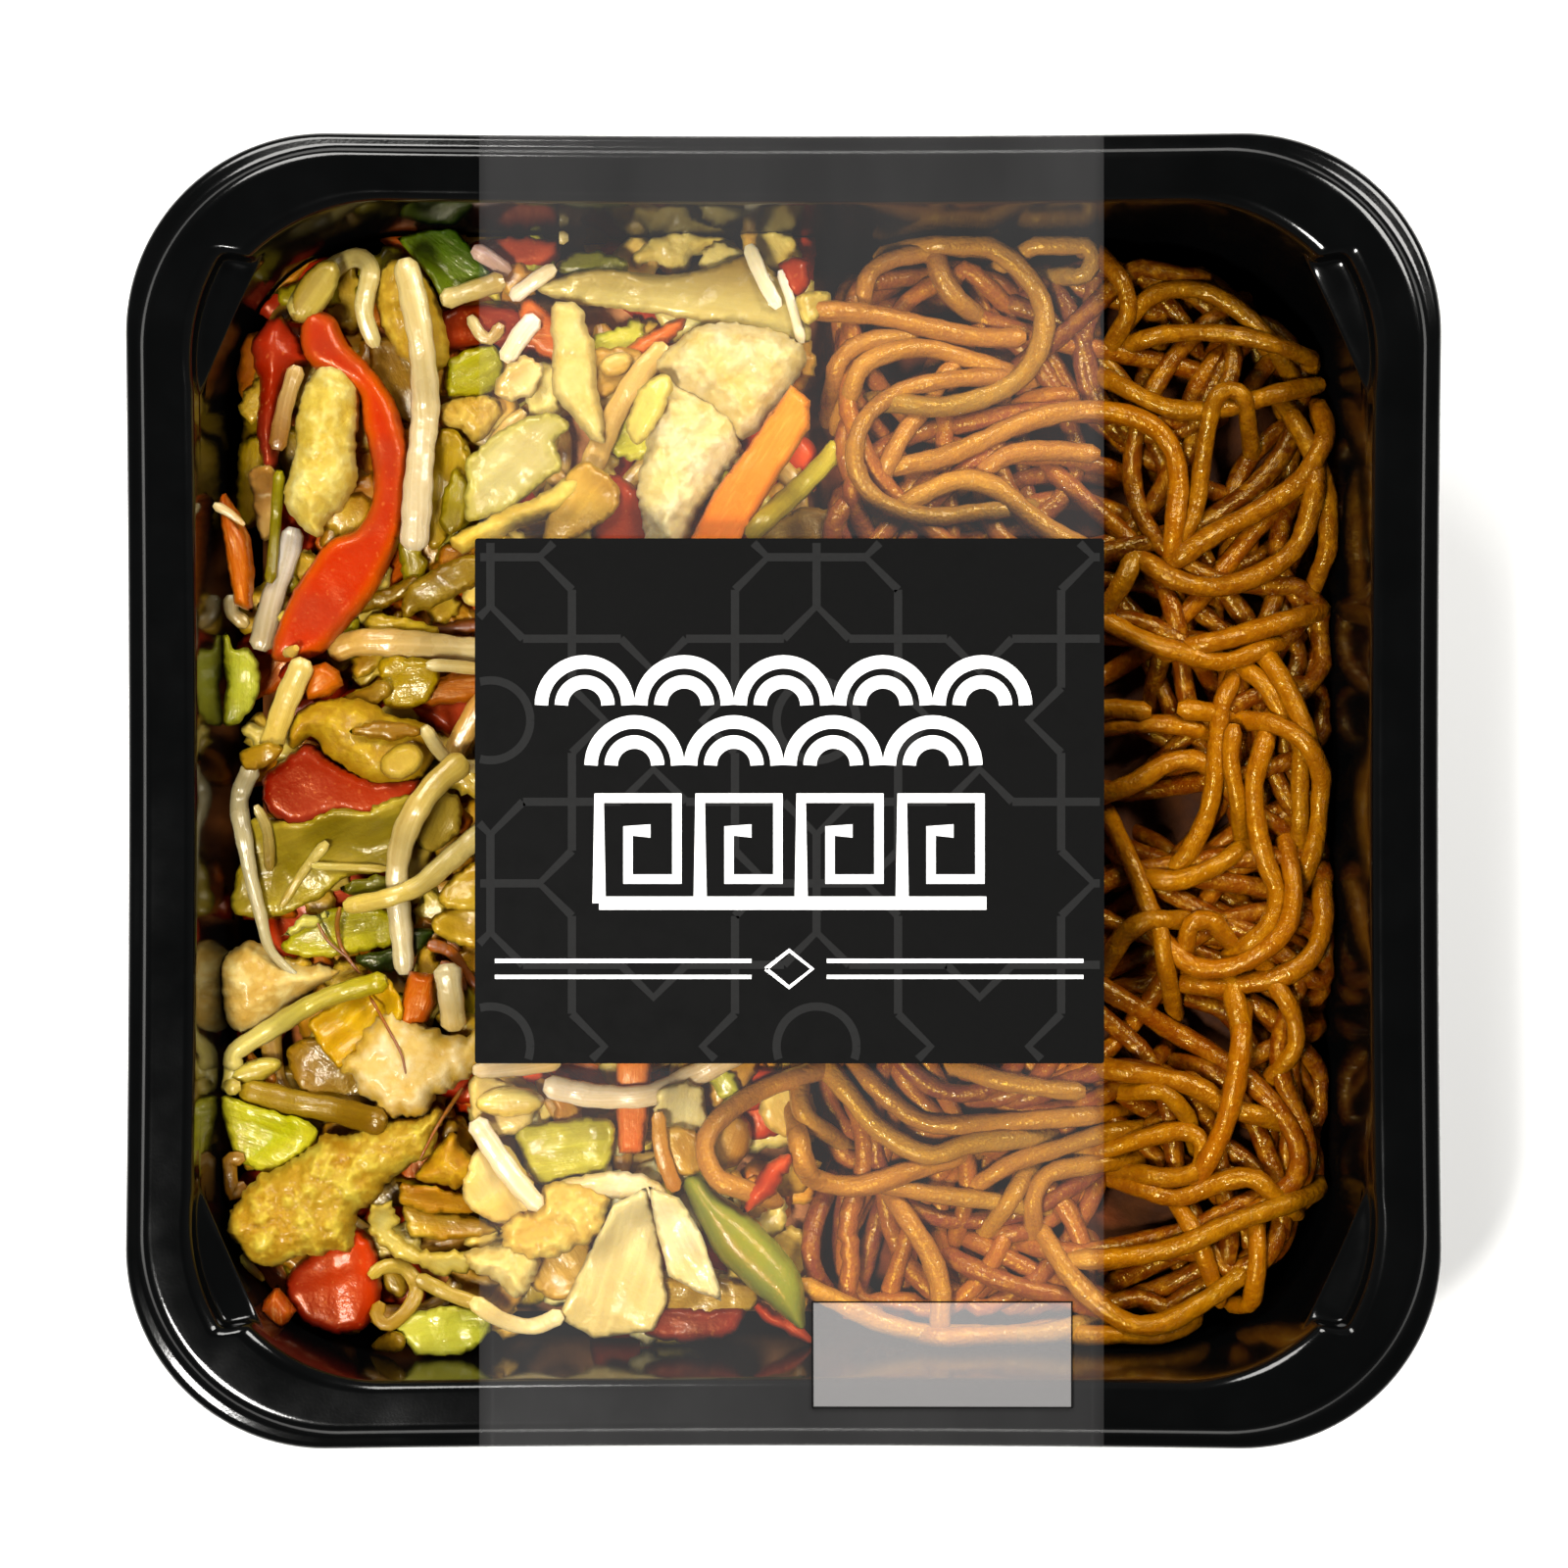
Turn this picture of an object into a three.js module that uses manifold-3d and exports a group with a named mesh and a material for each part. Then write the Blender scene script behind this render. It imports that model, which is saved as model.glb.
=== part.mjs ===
// A square ready-meal tray: noodles on one side, stir-fried vegetables with chicken on the other,
// and a see-through printed band round the middle. Millimetres, +Z up, +Y towards the back edge.
// The origin lies on the resting surface, under the middle of the tray.
import * as THREE from "three";
import { mergeVertices } from "three/addons/utils/BufferGeometryUtils.js";
import Module from "manifold-3d";

const wasm = await Module();
wasm.setup();

// Driving dimensions
const GAP = 0.3; // between pieces that touch
const FINEST = 0.08; // smallest detail kept where pieces are fused or cut
const TRAY_SIDE = 165;
const TRAY_CORNER = 25;
const TRAY_HEIGHT = 40;
const WALL = 0.8;
const RIM_WIDTH = 8.5; // outer edge to the mouth of the tray
const MOUTH_CORNER = 24;
const SIDE_BOW = 0.4; // how far the long sides lean in at their middles
const LIP_DROP = 1.1; // the outer ledge lies this far below the sealing flange
const LIP_WIDTH = 2.6;
const SKIRT = 4.6; // depth of the turned-down edge
const BASE_SIDE = 136;
const BASE_CORNER = 21;
const PANEL_SIDE = 112; // raised middle of the base
const PANEL_RISE = 1;
const LUG_REACH = 3; // stacking lug in each corner: outward reach, depth and share of the corner
const LUG_DEPTH = 3.6;
const LUG_SHARE = 0.46;
const LUG_HOOK = 0.08;

const BAND_LEFT = -38;
const BAND_RIGHT = 40;
const BAND_THICK = 0.4;
const LABEL_LEFT = -38.5;
const LABEL_FRONT = -34;
const LABEL_BACK = 31.5;
const LABEL_THICK = 0.3;

const FOOD_SPLIT = 4.5; // the noodles lie to the right of this line
const FOOD_EDGE = 15; // height of the food along the walls
const FOOD_MIDDLE = 27; // and away from them
const FOOD_SLOPE = 13; // width of the slope between the two
const FOOD_CEILING = 35.5; // nothing stands higher, under the band
const SINK = 1.1; // how far a fused piece settles into the heap
const HEAP_GRID = 12; // spacing of the points on the top of a heap

const NOODLE_RADIUS = 1.6;
const NOODLE_STEP = 6; // length of one straight stretch of a noodle
const SPROUT_RADIUS = 1.75;
const LEAF_THICK = 0.9;

const TRAY_FOOT = BAND_THICK + GAP; // the band runs under the tray
const RIM_TOP = TRAY_FOOT + TRAY_HEIGHT;
const TRAY_HALF = TRAY_SIDE / 2;
const MOUTH_HALF = TRAY_HALF - RIM_WIDTH;
const BASE_HALF = BASE_SIDE / 2;
const PANEL_HALF = PANEL_SIDE / 2;
const BAND_TOP = RIM_TOP + GAP;

function lerp(a, b, t) {
  return a + (b - a) * t;
}

function smooth(t) {
  const c = Math.min(1, Math.max(0, t));
  return c * c * (3 - 2 * c);
}

// Gentle lumps from -1 to 1, as a sum of sine waves
function lumps(x, y, z, seed) {
  let sum = 0;
  for (let i = 1; i <= 3; i++) {
    const [a, b, c] = [i * x + 1.7 * seed + i, i * y + 2.3 * seed, i * z + 0.7 * seed];
    sum += (Math.sin(a) * Math.sin(b) * Math.cos(c)) / i;
  }
  return sum / 1.6;
}

// Closed surface through rings of equally many points, with a fan over each end
function loft(rings) {
  const count = rings[0].length;
  const positions = rings.flat().flatMap((p) => [p.x, p.y, p.z]);
  const index = [];
  for (let k = 0; k + 1 < rings.length; k++) {
    for (let i = 0; i < count; i++) {
      const next = (i + 1) % count;
      const [a, b, c, d] = [k * count + i, k * count + next, (k + 1) * count + next, (k + 1) * count + i];
      index.push(a, b, c, a, c, d);
    }
  }
  [0, rings.length - 1].forEach((k) => {
    const middle = rings[k].reduce((sum, p) => sum.add(p), new THREE.Vector3()).divideScalar(count);
    const centre = positions.length / 3;
    positions.push(middle.x, middle.y, middle.z);
    for (let i = 0; i < count; i++) {
      const pair = [k * count + i, k * count + ((i + 1) % count)];
      index.push(centre, ...(k === 0 ? pair.reverse() : pair));
    }
  });
  const geometry = new THREE.BufferGeometry();
  geometry.setAttribute("position", new THREE.Float32BufferAttribute(positions, 3));
  geometry.setIndex(index);
  return geometry;
}

function solidOf(geometry) {
  const bare = geometry.clone();
  bare.deleteAttribute("normal");
  bare.deleteAttribute("uv");
  const merged = mergeVertices(bare, 1e-4);
  return new wasm.Manifold(
    new wasm.Mesh({
      numProp: 3,
      vertProperties: merged.attributes.position.array,
      triVerts: new Uint32Array(merged.index.array),
    }),
  );
}

function geometryOf(solid) {
  const mesh = solid.getMesh();
  const geometry = new THREE.BufferGeometry();
  geometry.setAttribute("position", new THREE.BufferAttribute(mesh.vertProperties, 3));
  geometry.setIndex(new THREE.BufferAttribute(mesh.triVerts, 1));
  return geometry;
}

// The largest body of a solid: loose scraps and sealed hollows are dropped
function largest(solid) {
  return solid.decompose().sort((a, b) => b.volume() - a.volume())[0].simplify(FINEST);
}

// Tray: rounded squares stacked into one shell

// Places along a corner, from the side that faces left or right (0) to the other (1)
const CORNER_PLACES = [0, 0.12, 0.24, 0.36, LUG_SHARE, LUG_SHARE + LUG_HOOK, 0.68, 0.84, 1];

// How far the lug pushes the wall outwards at a place along the corner
function lugReach(place) {
  return place <= LUG_SHARE ? (LUG_REACH * place) / LUG_SHARE : 0;
}

// How far the lug's shelf, cut straight across, lies inside the corner's arc
function shelfReach(place, radius) {
  const half = (LUG_SHARE + LUG_HOOK) / 2;
  const sagitta = radius * (1 - Math.cos((half * Math.PI) / 2));
  return place < 2 * half ? sagitta * (1 - ((place - half) / half) ** 2) : 0;
}

function roundedSquare({ half, radius, z, lug = 0, shelf = 0 }) {
  const points = [];
  for (let corner = 0; corner < 4; corner++) {
    const mirrored = corner % 2 === 1;
    const places = mirrored ? [...CORNER_PLACES].reverse() : CORNER_PLACES;
    const signX = corner === 0 || corner === 3 ? 1 : -1;
    const signY = corner < 2 ? 1 : -1;
    for (const place of places) {
      const angle = (place * Math.PI) / 2;
      const reach = radius + lug * lugReach(place) - shelf * shelfReach(place, radius);
      const x = half - radius + reach * Math.cos(angle);
      const y = half - radius + reach * Math.sin(angle);
      points.push(new THREE.Vector3(signX * x, signY * y, z));
    }
    const bowed = half - SIDE_BOW;
    const sides = [[0, bowed], [-bowed, 0], [0, -bowed], [bowed, 0]];
    points.push(new THREE.Vector3(...sides[corner], z));
  }
  return points;
}

// Half-width of the mouth's sloping inside wall at a height above the tray's foot
function insideHalf(height) {
  return lerp(BASE_HALF, MOUTH_HALF, height / TRAY_HEIGHT);
}

function insideRadius(height) {
  return lerp(BASE_CORNER, MOUTH_CORNER, height / TRAY_HEIGHT);
}

function wallRing(height, grow, extra = {}) {
  const half = insideHalf(height) + grow;
  const radius = insideRadius(height) + grow;
  return roundedSquare({ half, radius, z: TRAY_FOOT + height, ...extra });
}

function rimRing(inFromEdge, below, extra = {}) {
  const half = TRAY_HALF - inFromEdge;
  const share = Math.min(1, inFromEdge / RIM_WIDTH);
  const radius = lerp(TRAY_CORNER, MOUTH_CORNER, share);
  return roundedSquare({ half, radius, z: RIM_TOP - below, ...extra });
}

function panelRing(half, height) {
  return roundedSquare({ half, radius: BASE_CORNER - 4, z: TRAY_FOOT + height });
}

function trayGeometry() {
  const shelfHeight = TRAY_HEIGHT - LUG_DEPTH;
  const under = [
    panelRing(PANEL_HALF - 2, PANEL_RISE),
    panelRing(PANEL_HALF, 0),
    panelRing(BASE_HALF - 3, 0),
    wallRing(1.2, -0.6),
    wallRing(4, WALL),
    wallRing(shelfHeight - 4, WALL),
    wallRing(shelfHeight - 1.4, WALL, { shelf: 1 }),
    wallRing(shelfHeight - 0.8, WALL, { lug: 1 }),
    wallRing(TRAY_HEIGHT - WALL, WALL, { lug: 1 }),
    rimRing(LIP_WIDTH + 0.8, WALL),
    rimRing(LIP_WIDTH - 0.2, LIP_DROP + WALL),
    rimRing(WALL, LIP_DROP + WALL),
    rimRing(WALL, SKIRT),
  ];
  const over = [
    rimRing(0, SKIRT),
    rimRing(0, LIP_DROP + 0.9),
    rimRing(0.4, LIP_DROP + 0.25),
    rimRing(1.1, LIP_DROP),
    rimRing(LIP_WIDTH - 0.6, LIP_DROP - 0.2),
    rimRing(LIP_WIDTH, 0.25),
    rimRing(LIP_WIDTH + 0.6, 0),
    rimRing(RIM_WIDTH - 0.6, 0, { lug: 1 }),
    wallRing(TRAY_HEIGHT - 0.5, 0, { lug: 1 }),
    wallRing(shelfHeight, 0, { lug: 1 }),
    wallRing(shelfHeight - 0.6, 0, { shelf: 1 }),
    wallRing(shelfHeight - 3.2, 0),
    wallRing(4, 0),
    wallRing(2, -1),
    panelRing(BASE_HALF - 4, WALL),
    panelRing(PANEL_HALF, WALL),
    panelRing(PANEL_HALF - 2, WALL + PANEL_RISE),
  ];
  return loft([...under, ...over]);
}

// The room inside the tray that the food may fill, a touch clear of the wall
function cavitySolid() {
  const clear = -GAP - 0.15;
  const floor = WALL + PANEL_RISE + GAP;
  const rings = [
    wallRing(floor, clear - 2.4),
    wallRing(floor + 2, clear - 0.4),
    wallRing(floor + 4, clear),
    wallRing(TRAY_HEIGHT - LUG_DEPTH - 3.4, clear),
    wallRing(TRAY_HEIGHT - LUG_DEPTH - 1, clear, { shelf: 1 }),
  ];
  return solidOf(loft(rings));
}

// Band and label

// Outline of the band's section seen along X, grown outwards by a thickness
function bandOutline(shape, grow) {
  const reach = TRAY_HALF + GAP + grow;
  const foot = BASE_HALF + 1 + grow;
  const top = BAND_TOP + grow;
  const low = BAND_THICK - grow;
  const lip = RIM_TOP - SKIRT;
  const turn = 1.2;
  shape.moveTo(-foot + turn, low);
  shape.lineTo(foot - turn, low);
  shape.quadraticCurveTo(foot, low, foot + turn / 2, low + turn);
  shape.lineTo(reach - turn / 2, lip - turn);
  shape.quadraticCurveTo(reach, lip, reach, lip + turn);
  shape.lineTo(reach, top - turn);
  shape.quadraticCurveTo(reach, top, reach - turn, top);
  shape.lineTo(-reach + turn, top);
  shape.quadraticCurveTo(-reach, top, -reach, top - turn);
  shape.lineTo(-reach, lip + turn);
  shape.quadraticCurveTo(-reach, lip, -reach + turn / 2, lip - turn);
  shape.lineTo(-foot - turn / 2, low + turn);
  shape.quadraticCurveTo(-foot, low, -foot + turn, low);
  return shape;
}

function bandGeometry() {
  const shape = bandOutline(new THREE.Shape(), BAND_THICK);
  shape.holes.push(bandOutline(new THREE.Path(), 0));
  const depth = BAND_RIGHT - BAND_LEFT;
  const geometry = new THREE.ExtrudeGeometry(shape, { depth, bevelEnabled: false, curveSegments: 3 });
  // The section's own axes become Y and Z, and the extrusion runs along X
  const turn = new THREE.Matrix4().makeBasis(
    new THREE.Vector3(0, 1, 0),
    new THREE.Vector3(0, 0, 1),
    new THREE.Vector3(1, 0, 0),
  );
  return geometry.applyMatrix4(turn).translate(BAND_LEFT, 0, 0);
}

function labelGeometry() {
  const geometry = new THREE.BoxGeometry(BAND_RIGHT - LABEL_LEFT, LABEL_BACK - LABEL_FRONT, LABEL_THICK);
  const z = BAND_TOP + BAND_THICK + GAP + LABEL_THICK / 2;
  return geometry.translate((BAND_RIGHT + LABEL_LEFT) / 2, (LABEL_BACK + LABEL_FRONT) / 2, z);
}

// Food: a bed of heights over the tray, raised by each piece that is laid on it

const FOOD_HALF = insideHalf(FOOD_CEILING - TRAY_FOOT) - GAP;

// Signed distance from a rounded rectangle, negative inside
function rectangleDistance(x, y, halfX, halfY, radius) {
  const qx = Math.abs(x) - halfX + radius;
  const qy = Math.abs(y) - halfY + radius;
  const outside = Math.hypot(Math.max(qx, 0), Math.max(qy, 0));
  return outside + Math.min(Math.max(qx, qy), 0) - radius;
}

function heapHeight(x, y) {
  const inside = -rectangleDistance(x, y, FOOD_HALF, FOOD_HALF, MOUTH_CORNER);
  const level = lerp(FOOD_EDGE, FOOD_MIDDLE, smooth(inside / FOOD_SLOPE));
  return level + 1.2 * lumps(x / 9, y / 9, 0, 2);
}

class Bed {
  constructor(heightAt) {
    this.size = 2 * Math.ceil(TRAY_HALF) + 1;
    this.heights = new Float64Array(this.size * this.size);
    this.eachCell(0, 0, this.size, (x, y, cell) => {
      this.heights[cell] = heightAt(x, y);
    });
  }

  // Visits the cells, a millimetre apart, within a square reach of a point
  eachCell(x, y, reach, visit) {
    const middle = (this.size - 1) / 2;
    const low = (v) => Math.max(0, Math.ceil(v - reach + middle));
    const high = (v) => Math.min(this.size - 1, Math.floor(v + reach + middle));
    for (let row = low(y); row <= high(y); row++) {
      for (let column = low(x); column <= high(x); column++) {
        visit(column - middle, row - middle, row * this.size + column);
      }
    }
  }

  highest(x, y, reach) {
    let top = -Infinity;
    this.eachCell(x, y, reach, (cx, cy, cell) => {
      if (Math.hypot(cx - x, cy - y) <= reach) top = Math.max(top, this.heights[cell]);
    });
    return top;
  }

  mean(x, y, reach) {
    let sum = 0;
    let cells = 0;
    this.eachCell(x, y, reach, (cx, cy, cell) => {
      sum += this.heights[cell];
      cells++;
    });
    return sum / cells;
  }

  // Raises the bed to a round back of the given reach that peaks at top
  raise(x, y, reach, top) {
    this.eachCell(x, y, reach, (cx, cy, cell) => {
      const off = Math.hypot(cx - x, cy - y) / reach;
      if (off < 1) {
        const back = top - reach * (1 - Math.sqrt(1 - off * off));
        this.heights[cell] = Math.max(this.heights[cell], back);
      }
    });
  }
}

// Heights of a strand's centre line: it clears the bed and eases between what carries it
function drape(bed, line, reach, rest) {
  const support = line.map((p) => {
    const carried = bed.highest(p.x, p.y, Math.max(1, reach)) + rest;
    return Math.min(carried, FOOD_CEILING - reach);
  });
  let heights = support;
  for (let round = 0; round < 12; round++) {
    heights = heights.map((z, i, all) => {
      const eased = ((all[i - 1] ?? z) + 2 * z + (all[i + 1] ?? z)) / 4;
      return Math.max(support[i], eased);
    });
  }
  return line.map((p, i) => new THREE.Vector3(p.x, p.y, heights[i]));
}

// Evenly spaced points along a smooth line through a few places
function smoothLine(places, spacing) {
  const curve = new THREE.CatmullRomCurve3(places.map(([x, y]) => new THREE.Vector3(x, y, 0)));
  return curve.getSpacedPoints(Math.max(2, Math.round(curve.getLength() / spacing)));
}

// Sweeps a section, given as offsets to the side and upwards, along a centre line
function sweep(points, sectionAt) {
  const curve = new THREE.CatmullRomCurve3(points);
  const rings = points.map((point, i) => {
    const share = i / (points.length - 1);
    const along = curve.getTangent(share);
    const side = new THREE.Vector3(0, 0, 1).cross(along).normalize();
    const up = along.clone().cross(side);
    return sectionAt(share).map(([a, b]) => point.clone().addScaledVector(side, a).addScaledVector(up, b));
  });
  return loft(rings);
}

function roundSection(radius, sides) {
  return Array.from({ length: sides }, (_, i) => {
    const angle = (2 * Math.PI * i) / sides;
    return [radius * Math.cos(angle), radius * Math.sin(angle)];
  });
}

// A flat section with rounded edges, turned about the centre line
function stripSection(width, thick, roll) {
  const corners = [[1, 0], [0.8, 1], [-0.8, 1], [-1, 0], [-0.8, -1], [0.8, -1]];
  return corners.map(([a, b]) => {
    const [across, above] = [(a * width) / 2, (b * thick) / 2];
    return [
      across * Math.cos(roll) - above * Math.sin(roll),
      across * Math.sin(roll) + above * Math.cos(roll),
    ];
  });
}

// Noodles on top of their heap, as places in X and Y, in the order in which they lie on each other
const NOODLES = [
  [[22, 30], [30, 18], [28, 2], [34, -14], [26, -30]],
  [[8.5, 50.5], [10, 54], [14, 56], [19, 56.5], [24, 55], [29, 53.5]],
  [[44, 60], [46, 62.5], [49, 64], [53.5, 64], [57.5, 62], [61.5, 58.5], [64, 55]],
  [[45, 57.5], [49.5, 58.5], [56, 58.5], [61, 57.5], [66, 56]],
  [[68.5, 27.5], [70, 32.5], [69.5, 38.5], [68, 42.5], [65.5, 47.5]],
  [[5, 61], [12.5, 60.5], [19, 59], [25, 58], [31, 58]],
  [[14.5, 36], [21.5, 39.5], [26.5, 39], [30.5, 36], [34.5, 33], [38.5, 31]],
  [[42, 52.5], [47.5, 49.5], [52, 48.5], [57, 49], [62, 50.5], [66, 51.5]],
  [[50, 30.5], [52.5, 35.5], [53.5, 41.5], [54.5, 47], [56, 51], [58.5, 50.5]],
  [
    [15, 41.5], [20, 42.5], [25, 44.5], [30.5, 47], [36.5, 48.5], [41.5, 48.5], [46.5, 47],
    [49.5, 44], [50.5, 39.5], [50, 34.5], [49.5, 30],
  ],
  [[49.5, 29], [54.5, 32.5], [61, 36], [66, 39.5], [68.5, 43.5], [69.5, 46]],
  [[46, 29.5], [50, 27], [55, 26], [60.5, 27.5], [65.5, 31], [67.5, 36.5], [68, 40.5]],
  [
    [28.5, 53], [21.5, 52.5], [15, 51], [10.5, 47.5], [9, 42.5], [10.5, 38.5], [14, 36], [19, 35],
    [24, 35.5], [28.5, 36],
  ],
  [
    [17, 71], [24, 70.5], [29.5, 67.5], [33, 62.5], [33, 57.5], [30.5, 53], [26, 50.5], [20, 49],
    [15, 49.5],
  ],
  [[58.5, 16], [61.5, 13.5], [64, 9], [66, 6], [66, 1], [66, -6]],
  [[59, 9], [62.5, 8.5], [66, 6.5], [68.5, 2.5], [68.5, -1.5], [68, -6.5], [66.5, -11]],
  [[57.5, 14], [56, 11], [55.5, 6], [55, 1], [54, -3.5], [52, -7.5], [50, -10]],
  [[41, -0.5], [45, 1], [49, 3.5], [52.5, 4], [54.5, 3]],
  [[61.5, 6.5], [60, 1], [60.5, -5], [61.5, -9], [63, -13], [62, -17], [59.5, -19.5], [57.5, -21]],
  [[51.5, -24.5], [56, -25], [60, -24.5], [64, -23.5], [67.5, -21], [69, -17], [69, -14]],
  [
    [64.5, -8], [65, -13], [64, -17.5], [61, -20.5], [57, -22.5], [52.5, -22.5], [49.5, -20],
    [47.5, -18],
  ],
  [[43, -6], [45, -10.5], [46.5, -14.5], [48, -17.5], [48.5, -21], [49.5, -25]],
  [[41, 22], [45.5, 19.5], [50, 18], [56, 16.5], [61, 18], [62.5, 18.5]],
  [[6.5, -65], [12.5, -68], [18.5, -69.5], [26.5, -70], [33, -69.5], [38, -68.5]],
  [[34, -58], [36, -61], [39.5, -65], [44, -68], [48.5, -68], [53.5, -65.5], [58.5, -62]],
  [[37.5, -60], [45, -59.5], [51, -58], [56.5, -55.5], [62, -53.5], [66.5, -52]],
  [[25.5, -50], [29.5, -47.5], [34.5, -46], [40.5, -44], [44.5, -43.5]],
  [[5.5, -49.5], [9.5, -50.5], [16.5, -48.5], [23, -46.5]],
  [[41, -35.5], [47.5, -36.5], [53, -38], [57, -40.5], [62.5, -42]],
  [[41, -46], [46, -44.5], [51, -43.5], [53.5, -45], [53, -48.5], [49.5, -49.5], [45.5, -49]],
  [[58.5, -30.5], [57.5, -38], [56, -43.5], [53.5, -48.5]],
  [[9.5, -35.5], [13.5, -39.5], [18.5, -42.5], [26.5, -42.5], [33.5, -42], [40.5, -41.5]],
  [[5.5, -35.5], [8.5, -39], [12.5, -43.5], [18.5, -46.5], [24, -45], [30.5, -44.5]],
];

// Hollows that show dark between the noodles: place in X and Y, radius and depth
const HOLLOWS = [
  [58, 43, 5, 8], [48, -63, 5, 7], [62, 54, 4.5, 6], [45, -52, 4.5, 7], [64, 27, 4.5, 7],
  [42.5, 5, 4.5, 8], [42.5, 15, 5, 9], [48, -4, 4.5, 7], [52, -30, 4.5, 7],
];

function hollowSolids() {
  return HOLLOWS.map(([x, y, radius, depth]) =>
    wasm.Manifold.sphere(1, 8).scale([radius, radius, depth]).translate([x, y, heapHeight(x, y)]),
  );
}

function noodleSolids(bed) {
  return NOODLES.map((places) => {
    const points = drape(bed, smoothLine(places, NOODLE_STEP / 3), NOODLE_RADIUS, NOODLE_RADIUS - SINK);
    points.forEach((p) => bed.raise(p.x, p.y, NOODLE_RADIUS, p.z + NOODLE_RADIUS));
    const knots = points.filter((_, i) => i % 3 === 0);
    return solidOf(sweep(knots, () => roundSection(NOODLE_RADIUS, 5)));
  });
}

// A solid between two alike grids of points, closed round its edge
function gridSolid(top, under, columns, rows) {
  const count = top.length;
  const vertex = (i, j) => j * (columns + 1) + i;
  const index = [];
  for (let j = 0; j < rows; j++) {
    for (let i = 0; i < columns; i++) {
      const [a, b, c, d] = [vertex(i, j), vertex(i + 1, j), vertex(i + 1, j + 1), vertex(i, j + 1)];
      index.push(a, b, c, a, c, d);
      index.push(count + a, count + c, count + b, count + a, count + d, count + c);
    }
  }
  const edge = [];
  for (let i = 0; i < columns; i++) {
    edge.push(vertex(i, 0));
  }
  for (let j = 0; j < rows; j++) {
    edge.push(vertex(columns, j));
  }
  for (let i = columns; i > 0; i--) {
    edge.push(vertex(i, rows));
  }
  for (let j = rows; j > 0; j--) {
    edge.push(vertex(0, j));
  }
  edge.forEach((v, i) => {
    const next = edge[(i + 1) % edge.length];
    index.push(count + v, count + next, next, count + v, next, v);
  });
  const positions = [...top, ...under].flatMap((p) => [p.x, p.y, p.z]);
  const geometry = new THREE.BufferGeometry();
  geometry.setAttribute("position", new THREE.Float32BufferAttribute(positions, 3));
  geometry.setIndex(index);
  return solidOf(geometry);
}

// Points of a grid over shares of its two directions, from 0 to 1
function gridPoints(columns, rows, pointAt) {
  const points = [];
  for (let j = 0; j <= rows; j++) {
    for (let i = 0; i <= columns; i++) {
      points.push(pointAt(i / columns, j / rows));
    }
  }
  return points;
}

// A block of heap over one side of the tray, with the bed as its top
function heapCore(left, right) {
  const columns = Math.round((right - left) / HEAP_GRID);
  const rows = Math.round((2 * FOOD_HALF) / HEAP_GRID);
  const place = (u, v) => [lerp(left, right, u), lerp(-FOOD_HALF - 2, FOOD_HALF + 2, v)];
  const top = gridPoints(columns, rows, (u, v) => {
    const [x, y] = place(u, v);
    return new THREE.Vector3(x, y, heapHeight(x, y));
  });
  const under = gridPoints(columns, rows, (u, v) => new THREE.Vector3(...place(u, v), 0));
  return gridSolid(top, under, columns, rows);
}

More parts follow.
